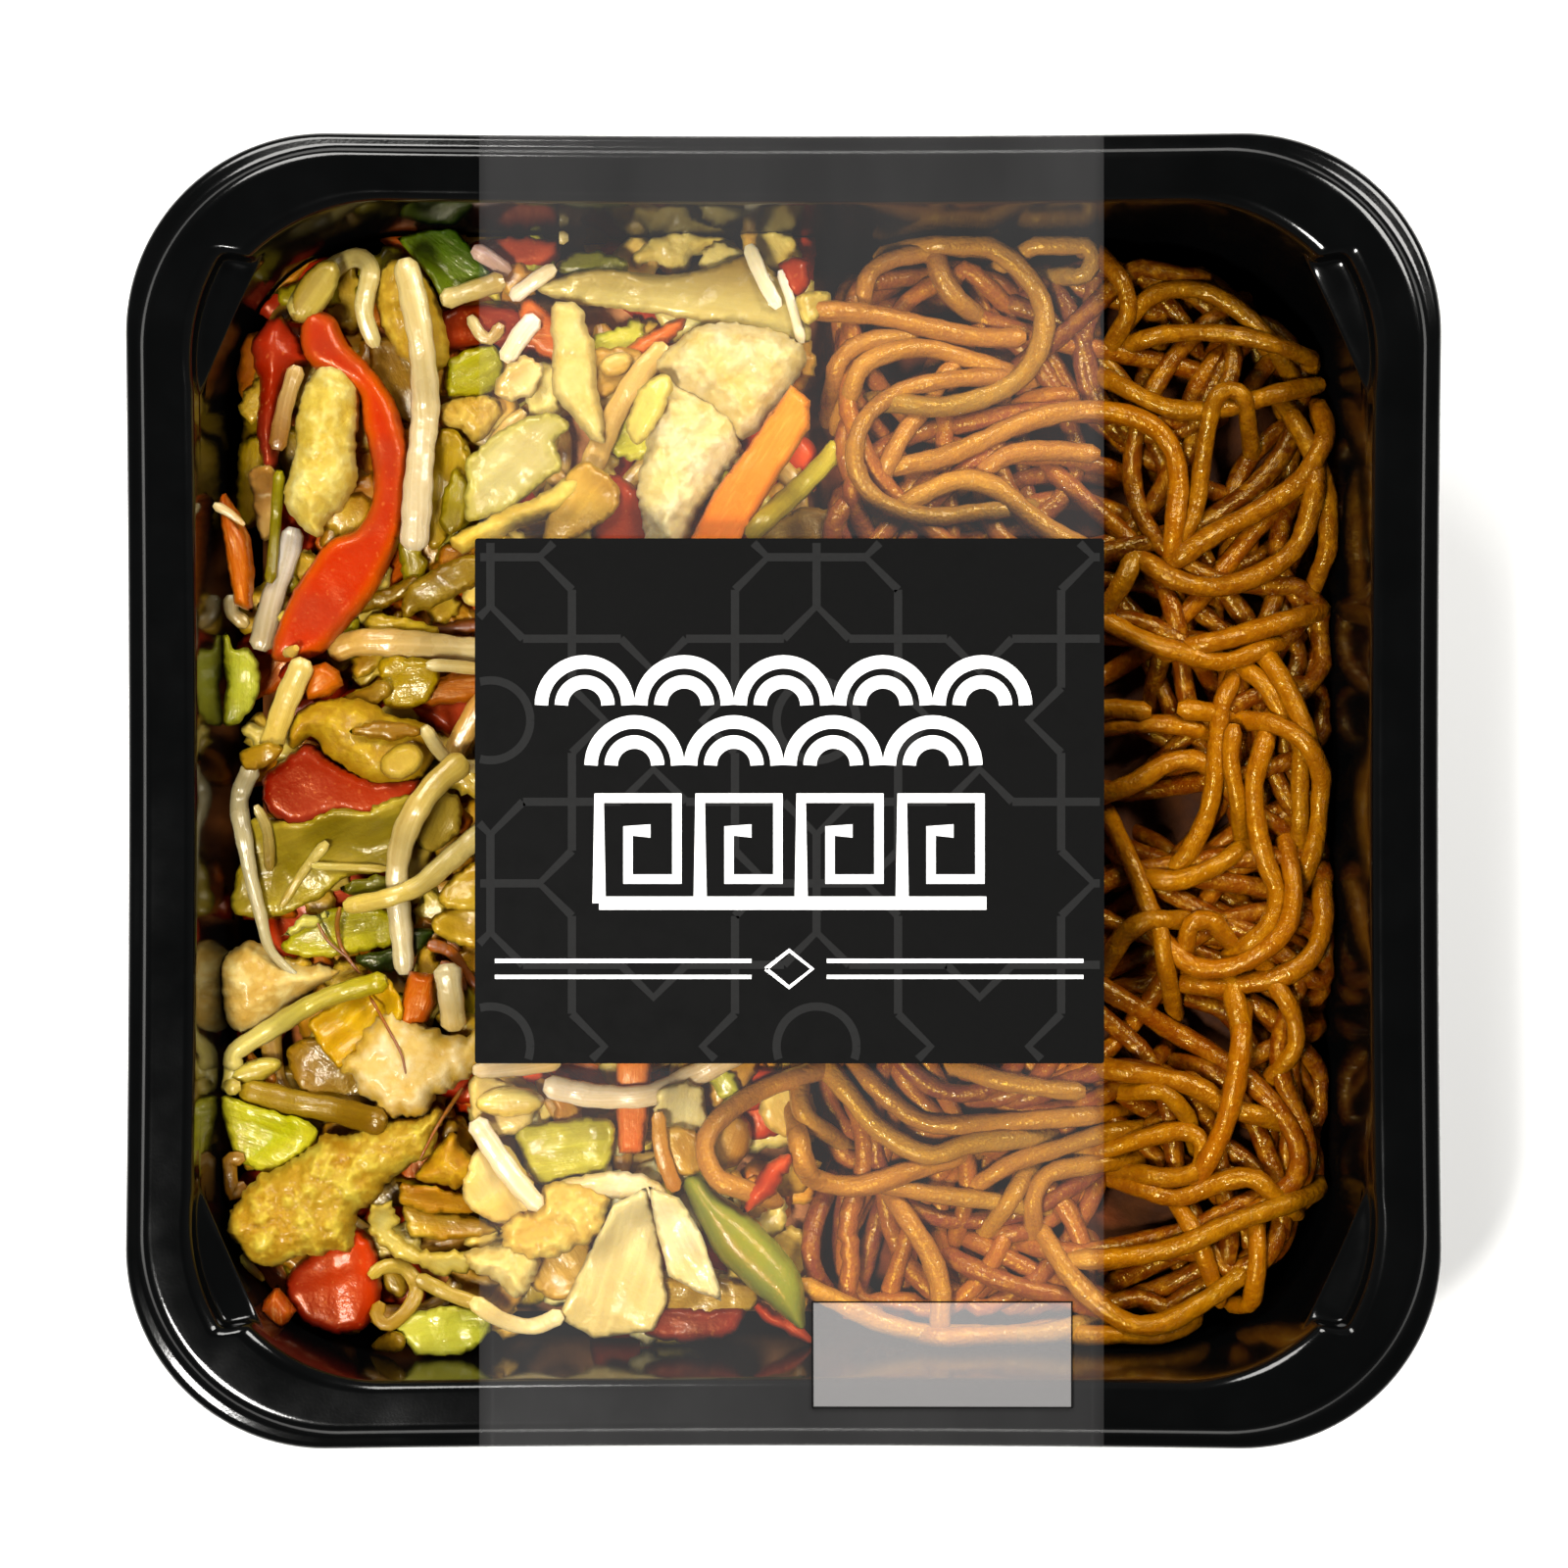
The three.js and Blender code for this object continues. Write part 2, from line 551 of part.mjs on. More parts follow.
// Vegetables and chicken, in the order in which they lie on each other.
// Places are X and Y. A chunk has a length, width, height and heading in degrees.
const VEGETABLES = [
  { kind: "leaf", at: [-55.5, -8.5], size: [27, 15], heading: 8 },
  { kind: "leaf", at: [-33.5, 41], size: [15, 14], heading: 30 },
  { kind: "leaf", at: [-43, -68], size: [14, 9], heading: 15 },
  { kind: "leaf", at: [-45.5, 13.5], size: [13, 8], heading: -10 },
  { kind: "leaf", at: [-28.5, -45.5], size: [13, 9], heading: 0 },
  { kind: "leaf", at: [-49, -20.5], size: [11, 7], heading: -15 },
  { kind: "leaf", at: [-66, 35.5], size: [12, 6], heading: 75 },
  { kind: "red_pepper", line: [[-39, 67], [-33.5, 69.5], [-26.5, 69]], size: [6, 3] },
  { kind: "red_pepper", line: [[-27.5, 36], [-22.5, 34.5], [-16, 35]], size: [8, 3] },
  { kind: "red_pepper", line: [[-67, 0], [-57, -1.5], [-45.5, 3.5]], size: [9, 3.2], roll: 0.3 },
  { kind: "red_pepper", line: [[-56.5, -55.5], [-57.5, -62], [-59, -68]], size: [12, 4], roll: 0.2 },
  { kind: "red_pepper", line: [[-65, 57.5], [-66, 48.5], [-65, 40.5]], size: [6, 4.5], roll: 0.5 },
  {
    kind: "red_pepper",
    line: [[-59, 58.5], [-51, 53], [-48.5, 40.5], [-53, 28.5], [-65, 17.5]],
    size: [7.5, 3.6],
    roll: -0.5,
  },
  { kind: "carrot", line: [[-71, 38], [-69.5, 28.5], [-67, 19.5]], size: [3.6, 3.4] },
  { kind: "carrot", line: [[-61.5, 9.5], [-56, 14]], size: [5, 4.6] },
  { kind: "carrot", line: [[-46, -22.5], [-46.5, -31.5]], size: [4, 3.6] },
  { kind: "carrot", line: [[-66.5, -63], [-63, -68]], size: [4.4, 4] },
  { kind: "carrot", line: [[-20, -33.5], [-20, -46.5]], size: [4.6, 3.6] },
  { kind: "carrot", line: [[-11.5, 60], [-18.5, 58.5], [-25, 56]], size: [3.6, 3.2] },
  { kind: "leaf", at: [-14.5, 63.5], size: [33, 10], heading: -4 },
  { kind: "leaf", at: [-17.5, -58.5], size: [20, 19], heading: -35 },
  { kind: "leaf", at: [-25, 67.5], size: [9, 4], heading: 0 },
  { kind: "red_pepper", line: [[-4, -66], [0, -68.5], [3, -70]], size: [5, 2.6] },
  { kind: "green_pepper", line: [[-12, -48], [-5, -56], [2.5, -67]], size: [8, 3], roll: -0.35 },
  { kind: "red_pepper", line: [[0.5, -44.5], [-2, -49], [-5, -53.5]], size: [3.6, 2.4] },
  { kind: "chicken", at: [-48, 60], size: [15, 8, 8], heading: 85 },
  { kind: "chicken", at: [-59.5, 43.5], size: [22.5, 10, 9], heading: 78 },
  { kind: "chicken", at: [-53.5, 6.5], size: [20, 10.5, 8], heading: -18 },
  { kind: "chicken", at: [-65.5, -25.5], size: [14.5, 11.5, 9], heading: -20 },
  { kind: "leaf", at: [-54, -29], size: [13, 10], heading: 40 },
  { kind: "chicken", at: [-47, -34.5], size: [16, 11, 7.5], heading: 25 },
  { kind: "leaf", at: [-65.5, -43.5], size: [12, 9], heading: -10 },
  { kind: "chicken", at: [-57.5, -50.5], size: [31, 14.5, 10], heading: 31 },
  { kind: "chicken", at: [-42.5, -47], size: [10, 6.5, 6], heading: -40 },
  { kind: "chicken", at: [-8.5, 45.5], size: [28, 16, 10.5], heading: 63 },
  { kind: "carrot", line: [[2, 50.5], [-3, 41.5], [-9, 33]], size: [7, 4] },
  { kind: "chicken", at: [-12.5, 69], size: [13, 6, 6], heading: 8 },
  { kind: "chicken", at: [-32, 36], size: [16, 5.5, 5], heading: 30 },
  { kind: "chicken", at: [-30.5, -57], size: [15, 11, 7.5], heading: 35 },
  { kind: "chicken", at: [-26, 53.5], size: [18, 5.6, 5], heading: -70 },
  { kind: "leaf", at: [-43, 68], size: [12, 8], heading: -28 },
  { kind: "leaf", at: [-69.5, 14.5], size: [12, 5], heading: 82 },
  { kind: "leaf", at: [-57, -17.5], size: [14, 5.5], heading: 6 },
  { kind: "sprout", line: [[-47.5, 67], [-45, 49], [-46.5, 30]] },
  { kind: "sprout", line: [[-58, 63], [-55, 67.5], [-53.5, 60.5], [-50.5, 53.5]] },
  { kind: "sprout", line: [[-62, 32.5], [-64.5, 24.5], [-67, 16.5]] },
  { kind: "sprout", line: [[-58.5, 19], [-48, 19], [-38.5, 18.5]] },
  { kind: "sprout", line: [[-61, 16.5], [-64.5, 7], [-68.5, 3]] },
  { kind: "sprout", line: [[-68, 2.5], [-69, -6.5], [-61.5, -24.5]] },
  { kind: "sprout", line: [[-41, 7], [-48, -8], [-48, -24]] },
  { kind: "sprout", line: [[-39, -8.5], [-46, -13.5], [-56.5, -14]] },
  { kind: "sprout", line: [[-55, -22], [-63, -29], [-71, -35.5]] },
  { kind: "sprout", line: [[-69.5, -38], [-59.5, -40], [-49.5, -43]] },
  { kind: "sprout", line: [[-34.5, -40], [-20, -39.5], [-8, -36]] },
  { kind: "sprout", line: [[-31.5, 61.5], [-33.5, 58], [-36, 53.5]] },
  { kind: "sprout", line: [[-51.5, -52.5], [-49.5, -59.5], [-41, -62], [-33.5, -59]] },
  { kind: "sprout", line: [[-15.5, 55.5], [-19.5, 47.5], [-24, 39]] },
];

// A craggy chunk: a rounded block with lumps
function chunkGeometry({ size, heading }, centre, seed, grow, detail) {
  const geometry = new THREE.IcosahedronGeometry(1, detail);
  geometry.deleteAttribute("normal");
  geometry.deleteAttribute("uv");
  const block = mergeVertices(geometry, 1e-4);
  const place = block.attributes.position;
  const boxiness = 2.7;
  for (let i = 0; i < place.count; i++) {
    const p = new THREE.Vector3().fromBufferAttribute(place, i);
    const norm = p.toArray().reduce((sum, v) => sum + Math.abs(v) ** boxiness, 0);
    const round = norm ** (-1 / boxiness);
    const crag = 1 + 0.14 * lumps(3 * p.x, 2.4 * p.y, 2.4 * p.z, seed);
    place.setXYZ(i, ...p.toArray().map((v, axis) => v * round * (crag * (size[axis] / 2) + grow)));
  }
  return block.rotateZ(THREE.MathUtils.degToRad(heading)).translate(centre.x, centre.y, centre.z);
}

function layChunk(bed, piece, seed) {
  const [x, y] = piece.at;
  const [length, width, height] = piece.size;
  const angle = THREE.MathUtils.degToRad(piece.heading);
  const sunk = 0.28 * height;
  const level = bed.mean(x, y, width / 2) + height / 2 - sunk;
  const centre = new THREE.Vector3(x, y, Math.min(level, FOOD_CEILING - height / 2 - 1));
  const spine = (length - width) / 2;
  for (let share = -1; share <= 1; share += 0.25) {
    const [px, py] = [x + share * spine * Math.cos(angle), y + share * spine * Math.sin(angle)];
    bed.raise(px, py, width / 2, centre.z + height / 2 + GAP);
  }
  const detail = length > 20 ? 2 : 1;
  return (grow) => solidOf(chunkGeometry(piece, centre, seed, grow, detail));
}

// A strip of pepper, or a stick of carrot, that lies along a line
function layStrip(bed, piece) {
  const [width, thick] = piece.size;
  const isStick = piece.kind === "carrot";
  const line = smoothLine(piece.line, isStick ? 9 : 5);
  const points = drape(bed, line, thick / 2, thick / 2);
  points.forEach((p) => bed.raise(p.x, p.y, width / 2, p.z + thick / 2 + GAP));
  const taper = (share) => (isStick ? 1 : 0.55 + 0.45 * Math.sin(Math.PI * share));
  const roll = piece.roll ?? 0;
  const section = (share, grow) => stripSection(width * taper(share) + 2 * grow, thick + 2 * grow, roll);
  return (grow) => solidOf(sweep(points, (share) => section(share, grow)));
}

function laySprout(bed, piece) {
  const points = drape(bed, smoothLine(piece.line, 6), SPROUT_RADIUS, SPROUT_RADIUS);
  points.forEach((p) => bed.raise(p.x, p.y, SPROUT_RADIUS, p.z + SPROUT_RADIUS + GAP));
  const radius = (share) => SPROUT_RADIUS * (1 - 0.45 * share * share);
  return (grow) => solidOf(sweep(points, (share) => roundSection(radius(share) + grow, 5)));
}

// A thin wavy leaf: two alike sheets and the edge between them
function layLeaf(bed, piece, seed) {
  const [length, width] = piece.size;
  const angle = THREE.MathUtils.degToRad(piece.heading);
  const [columns, rows] = [4, 3];
  const sheet = (lift) =>
    gridPoints(columns, rows, (shareU, shareV) => {
      const [u, v] = [2 * shareU - 1, 2 * shareV - 1];
      const round = 1 - 0.16 * u * u * v * v;
      const a = (u * round * length) / 2;
      const b = (v * round * width * (1 - 0.25 * u * u)) / 2;
      const x = piece.at[0] + a * Math.cos(angle) - b * Math.sin(angle);
      const y = piece.at[1] + a * Math.sin(angle) + b * Math.cos(angle);
      const wave = 0.9 + 1.3 * lumps(2.2 * u, 1.8 * v, 0, seed) + 0.6 * v * v;
      return new THREE.Vector3(x, y, bed.mean(x, y, 3) + wave + lift);
    });
  const top = sheet(LEAF_THICK / 2);
  const under = sheet(-LEAF_THICK / 2);
  top.forEach((p) => bed.raise(p.x, p.y, 2.5, p.z));
  return () => gridSolid(top, under, columns, rows);
}

const LAYERS = {
  leaf: layLeaf,
  sprout: laySprout,
  red_pepper: layStrip,
  green_pepper: layStrip,
  carrot: layStrip,
  chicken: layChunk,
};

// Lays every vegetable and returns the fused heap and the separate pieces
function vegetableSolids(bed, room) {
  const fused = [heapCore(-FOOD_HALF - 2, FOOD_SPLIT - GAP / 2)];
  const pieces = [];
  const counts = {};
  VEGETABLES.forEach((piece, order) => {
    const shape = LAYERS[piece.kind](bed, piece, order + 1);
    if (piece.kind === "leaf") {
      fused.push(shape());
      return;
    }
    let solid = shape(0).intersect(room);
    pieces.forEach((other) => {
      solid = solid.subtract(other.grown);
    });
    counts[piece.kind] = (counts[piece.kind] ?? 0) + 1;
    const name = `${piece.kind}_${counts[piece.kind]}`;
    pieces.push({ name, kind: piece.kind, solid: largest(solid), grown: shape(GAP) });
  });
  let heap = wasm.Manifold.union(fused).intersect(room);
  pieces.forEach((piece) => {
    heap = heap.subtract(piece.grown);
  });
  return { heap: largest(heap), pieces };
}

// A closed block that holds one side of the tray
function sideBlock(left, right) {
  const block = new THREE.BoxGeometry(right - left, TRAY_SIDE, 2 * TRAY_HEIGHT);
  return solidOf(block.translate((left + right) / 2, 0, TRAY_HEIGHT / 2));
}

// Finishes

function material(color, roughness) {
  return new THREE.MeshStandardMaterial({ color, roughness, metalness: 0 });
}

const FINISHES = {
  tray: material(0x0c0d0d, 0.3),
  band: material(0xe8e6e6, 0.5),
  label: material(0x1a1a1a, 0.55),
  noodle: material(0xb67612, 0.35),
  vegetable: material(0xd9c48a, 0.4),
  chicken: material(0xe6c660, 0.6),
  red_pepper: material(0xb8330f, 0.25),
  green_pepper: material(0x7a8a2c, 0.25),
  carrot: material(0xd0660c, 0.4),
  sprout: material(0xdec281, 0.35),
};

// The object

const box = new THREE.Group();

function addPiece(name, geometry, finish) {
  const mesh = new THREE.Mesh(geometry, finish);
  mesh.name = name;
  box.add(mesh);
}

const cavity = cavitySolid();
const noodleRoom = cavity.intersect(sideBlock(FOOD_SPLIT + GAP / 2, TRAY_HALF));
const vegetableRoom = cavity.intersect(sideBlock(-TRAY_HALF, FOOD_SPLIT - GAP / 2));

const noodleBed = heapCore(FOOD_SPLIT + GAP / 2, FOOD_HALF + 2);
const noodleCore = noodleBed.subtract(wasm.Manifold.union(hollowSolids()));
const noodleStrands = noodleSolids(new Bed(heapHeight));
const noodleHeap = wasm.Manifold.union([noodleCore, ...noodleStrands]).intersect(noodleRoom);
const vegetables = vegetableSolids(new Bed(heapHeight), vegetableRoom);

addPiece("tray", trayGeometry(), FINISHES.tray);
addPiece("band", bandGeometry(), FINISHES.band);
addPiece("label", labelGeometry(), FINISHES.label);
addPiece("noodles", geometryOf(largest(noodleHeap)), FINISHES.noodle);
addPiece("vegetables", geometryOf(vegetables.heap), FINISHES.vegetable);
for (const piece of vegetables.pieces) {
  addPiece(piece.name, geometryOf(piece.solid), FINISHES[piece.kind]);
}

export default box;
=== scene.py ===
"""Looks of a noodle meal tray: black tray, soy noodles, vegetables with chicken, film band, dark label."""
import math

import bpy
import numpy as np
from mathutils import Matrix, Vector, noise
from mathutils.geometry import delaunay_2d_cdt


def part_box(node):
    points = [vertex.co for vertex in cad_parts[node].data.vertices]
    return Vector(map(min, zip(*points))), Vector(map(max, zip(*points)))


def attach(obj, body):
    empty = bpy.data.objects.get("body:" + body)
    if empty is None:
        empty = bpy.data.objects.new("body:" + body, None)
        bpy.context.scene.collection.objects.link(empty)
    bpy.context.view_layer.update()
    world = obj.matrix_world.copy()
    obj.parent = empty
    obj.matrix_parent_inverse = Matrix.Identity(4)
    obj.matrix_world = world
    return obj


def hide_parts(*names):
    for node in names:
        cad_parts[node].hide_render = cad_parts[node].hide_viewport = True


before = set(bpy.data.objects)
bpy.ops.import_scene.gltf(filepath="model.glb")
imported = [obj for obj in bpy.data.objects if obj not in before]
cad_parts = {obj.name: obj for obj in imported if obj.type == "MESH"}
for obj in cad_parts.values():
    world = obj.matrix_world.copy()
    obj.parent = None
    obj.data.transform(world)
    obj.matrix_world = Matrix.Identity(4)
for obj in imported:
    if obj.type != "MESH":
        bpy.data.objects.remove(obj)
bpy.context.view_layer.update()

MM = 0.001
DICE = np.random.default_rng(12)

# Tray, as in the solids, in millimetres
FOOT, RIM_TOP, DEPTH = 0.7, 40.7, 40.0
TRAY_HALF, TRAY_CORNER = 82.5, 25.0
BASE_HALF, BASE_CORNER = 68.0, 21.0
MOUTH_HALF, MOUTH_CORNER = 74.0, 24.0
SIDE_BOW = 0.4
LUG_REACH, LUG_SHARE = 3.0, 0.46
SHELF_SHARE = 0.27
FOOT_CORNER = 17.0

# Band and label
BAND_LEFT, BAND_RIGHT = -38.0, 40.0
BAND_FOOT, BAND_REACH = 69.2, 83.2       # half its length below and above
BAND_SHOULDER, BAND_TOP = 36.0, 41.4
BAND_TURN, BAND_WAVE, FILM_THICK = 1.3, 0.1, 0.22
LABEL_LEFT, LABEL_RIGHT, LABEL_FRONT, LABEL_BACK = -38.5, 40.0, -34.0, 31.5
LABEL_LOW, LABEL_TOP = 41.7, 42.0
LATTICE_UNIT, LATTICE_LINE = 10.17, 1.04
LATTICE_AT = (-36.56, 29.15)
SCALLOP_ROWS = ((10.7, 5, -24.8), (3.2, 4, -18.6))     # height, count and first middle
SCALLOP_PITCH, SCALLOP_RADII = 12.4, (5.4, 2.9)
FRET_LEFT, FRET_BASE, FRET_PITCH, FRETS = -23.0, -14.0, 12.6, 4
ORNAMENT_LINE, RULE_LINE, PANEL_LINE = 1.65, 0.5, 0.28
PANEL_LEFT, PANEL_RIGHT, PANEL_FRONT, PANEL_BACK = 3.6, 36.0, -77.0, -63.8

# Food
FOOD_HALF = 72.9
FOOD_EDGE, FOOD_MIDDLE, FOOD_SLOPE = 15.0, 27.0, 13.0
FOOD_CEILING = 36.4
LOWEST_TOP = 25.5        # pieces by the wall lie at least this high
SPREAD = 1.015           # outlines are as seen at the rim; the food lies about 10 mm lower
VEGETABLES_END = 5.0     # vegetables lie left of this
CARROT_CUT = {"edge": 1.5, "torn": 0.12, "crisp": True, "square": 3}     # flat sides and sharp corners
NOODLE_WIDTH, LOOSE_NOODLES = 2.6, 104

# Hollows that show dark between the noodles, as in the solids: place, radius and depth
HOLLOWS = [
    (58, 43, 5, 8), (48, -63, 5, 7), (62, 54, 4.5, 6), (45, -52, 4.5, 7), (64, 27, 4.5, 7),
    (42.5, 5, 4.5, 8), (42.5, 15, 5, 9), (48, -4, 4.5, 7), (52, -30, 4.5, 7),
]

# Scraps low in the heap are deep yellow, orange and red; scraps near the top are paler leaf
LOWER_SCRAPS = [
    ("onion", (232, 150, 40), (206, 96, 18)), ("cabbage", (244, 196, 70), (220, 142, 34)),
    ("red_pepper", (224, 66, 14), (176, 38, 10)), ("onion", (236, 166, 56), (206, 112, 24)),
    ("carrot", (236, 118, 24), (206, 82, 14)), ("onion", (216, 136, 26), (176, 80, 12)),
    ("leek", (186, 160, 28), (150, 116, 16)), ("cabbage", (244, 202, 100), (216, 148, 46)),
    ("red_pepper", (212, 54, 12), (160, 30, 8)),
]
UPPER_SCRAPS = [
    ("cabbage", (232, 208, 116), (206, 164, 62)), ("onion", (206, 156, 60), (180, 116, 34)),
    ("cabbage", (222, 186, 84), (196, 146, 44)), ("leek", (186, 178, 50), (156, 140, 30)),
    ("cabbage", (236, 214, 140), (212, 176, 84)), ("onion", (196, 140, 42), (168, 98, 22)),
]

# Painted light: the milky film's haze is painted into the tints of what lies below it, making them lighter;
# sprouts and cabbage are whiter than the rest
SCRAPS_PAINTED_FILM_HAZE = np.array([20, 28, 44])
VEGETABLES_PAINTED_FILM_HAZE = np.array([1.5, 1.52, 2.2])
LOOSE_PAINTED_FILM_HAZE, TOP_PAINTED_FILM_HAZE = (2.35, 3.6, 0.014), (1.7, 2.35, 0.02)
WHITER = {
    "sprout": (1, 1.04, 1.5), "sprout_head": (1, 1.03, 1.3), "cabbage": (1, 1.03, 1.2),
    "egg": (1, 1.03, 1.3), "onion_strip": (1, 1.03, 1.4),
}

# Studio: the eye's height above the rim, and each light's place, size and power
EYE = 700.0
LIGHT_TINT = (1, 0.985, 0.95)
LIGHTS = {
    "key": ((-250, -260, 720), 170, 8.4),
    "fill": ((420, 360, 560), 300, 6.0),
    "back": ((-200, 520, 540), 300, 5.0),
}


# Small helpers

def colour(red, green, blue):
    """Linear colour of food that looks like these 0 to 255 values under the studio light."""
    parts = np.array([red, green, blue]) / 255
    linear = np.where(parts > 0.04045, ((parts + 0.055) / 1.055) ** 2.4, parts / 12.92)
    return linear ** np.array([1, 1.04, 1.45]) * np.array([0.48, 0.43, 0.33])


def smoothstep(value):
    value = np.clip(value, 0, 1)
    return value * value * (3 - 2 * value)


def lumps(x, y, z, seed):
    """Soft unevenness between about -1 and 1."""
    total = 0
    for i in (1, 2, 3):
        total = total + (np.sin(i * x + 1.7 * seed + i) * np.sin(i * y + 2.3 * seed)
                         * np.cos(i * z + 0.7 * seed) / i)
    return total / 1.6


def smooth_line(points, step, closed=False):
    """A smooth curve through the points, in even steps."""
    points = np.asarray(points, float)
    if closed:
        padded = np.vstack([points[-1], points, points[0], points[1]])
    else:
        padded = np.vstack([2 * points[0] - points[1], points, 2 * points[-1] - points[-2]])
    dense = []
    for a, b, c, d in zip(padded, padded[1:], padded[2:], padded[3:]):
        t = np.linspace(0, 1, 24, endpoint=False)[:, None]
        dense.append(0.5 * (2 * b + (c - a) * t + (2 * a - 5 * b + 4 * c - d) * t**2
                            + (3 * b - a - 3 * c + d) * t**3))
    dense.append(padded[-2][None])
    dense = np.vstack(dense)
    run = np.r_[0, np.cumsum(np.linalg.norm(np.diff(dense, axis=0), axis=1))]
    count = max(int(round(run[-1] / step)), 3)
    places = np.linspace(0, run[-1], count + 1)
    line = np.stack([np.interp(places, run, dense[:, k]) for k in range(dense.shape[1])], 1)
    return line[:-1] if closed else line


def food_height(x, y):
    """Top of the heap below its pieces, as in the solids."""
    corner = 24.0
    across = np.maximum(np.abs(x) - FOOD_HALF + corner, 0)
    along = np.maximum(np.abs(y) - FOOD_HALF + corner, 0)
    flat = np.maximum(np.abs(x), np.abs(y)) - FOOD_HALF + corner
    inside = corner - np.hypot(across, along) - np.minimum(flat, 0)
    middle = FOOD_EDGE + (FOOD_MIDDLE - FOOD_EDGE) * smoothstep(inside / FOOD_SLOPE)
    return middle + 1.2 * lumps(x / 9, y / 9, 0, 2)


def wall_half(z):
    """Half width of the tray's inside at a height."""
    return BASE_HALF + (MOUTH_HALF - BASE_HALF) * (z - FOOT) / DEPTH


def keep_in_tray(x, y, z, room):
    """Points moved inwards so that they stay clear of the wall."""
    half = wall_half(z) - room
    corner = 22.0
    dx = np.maximum(np.abs(x) - half + corner, 0)
    dy = np.maximum(np.abs(y) - half + corner, 0)
    reach = np.maximum(np.hypot(dx, dy), 1e-9)
    pull = np.minimum(1, corner / reach)
    bent = (dx > 0) & (dy > 0)
    x_in = np.where(bent, np.sign(x) * (half - corner + dx * pull), np.clip(x, -half, half))
    y_in = np.where(bent, np.sign(y) * (half - corner + dy * pull), np.clip(y, -half, half))
    return x_in, y_in


# Meshes

class Gathering:
    """Many small forms gathered into one mesh, with a tint and a grain at every point."""

    def __init__(self):
        self.points, self.faces, self.tints, self.grains = [], [], [], []
        self.count = 0

    def add(self, points, faces, tints, grains):
        points = np.asarray(points, float)
        self.points.append(points)
        self.faces.extend([tuple(i + self.count for i in face) for face in faces])
        self.tints.append(np.broadcast_to(tints, points.shape))
        self.grains.append(np.broadcast_to(grains, points.shape))
        self.count += len(points)

    def mesh(self, name):
        return mesh_of(name, np.vstack(self.points), self.faces,
                       np.vstack(self.tints), np.vstack(self.grains))


def mesh_of(name, points, faces, tints=None, grains=None, edges=()):
    mesh = bpy.data.meshes.new(name)
    mesh.from_pydata((np.asarray(points) * MM).tolist(), list(edges), list(faces))
    if tints is not None:
        layer = mesh.attributes.new("tint", "FLOAT_COLOR", "POINT")
        rgba = np.c_[tints, np.ones(len(tints))].astype(np.float32)
        layer.data.foreach_set("color", rgba.ravel())
    if grains is not None:
        layer = mesh.attributes.new("grain", "FLOAT_VECTOR", "POINT")
        layer.data.foreach_set("vector", np.asarray(grains, np.float32).ravel())
    mesh.update()
    return mesh


def show(name, mesh, finish, slot, nodes=(), smooth=True):
    """A finished piece: it rides on the body and stands for its solids."""
    piece = bpy.data.objects.new(name, mesh)
    bpy.context.scene.collection.objects.link(piece)
    if finish is not None:
        mesh.materials.clear()
        mesh.materials.append(finish)
    mesh.polygons.foreach_set("use_smooth", np.full(len(mesh.polygons), smooth))
    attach(piece, "root")
    if nodes:
        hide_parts(*nodes)
    return piece


# Finishes

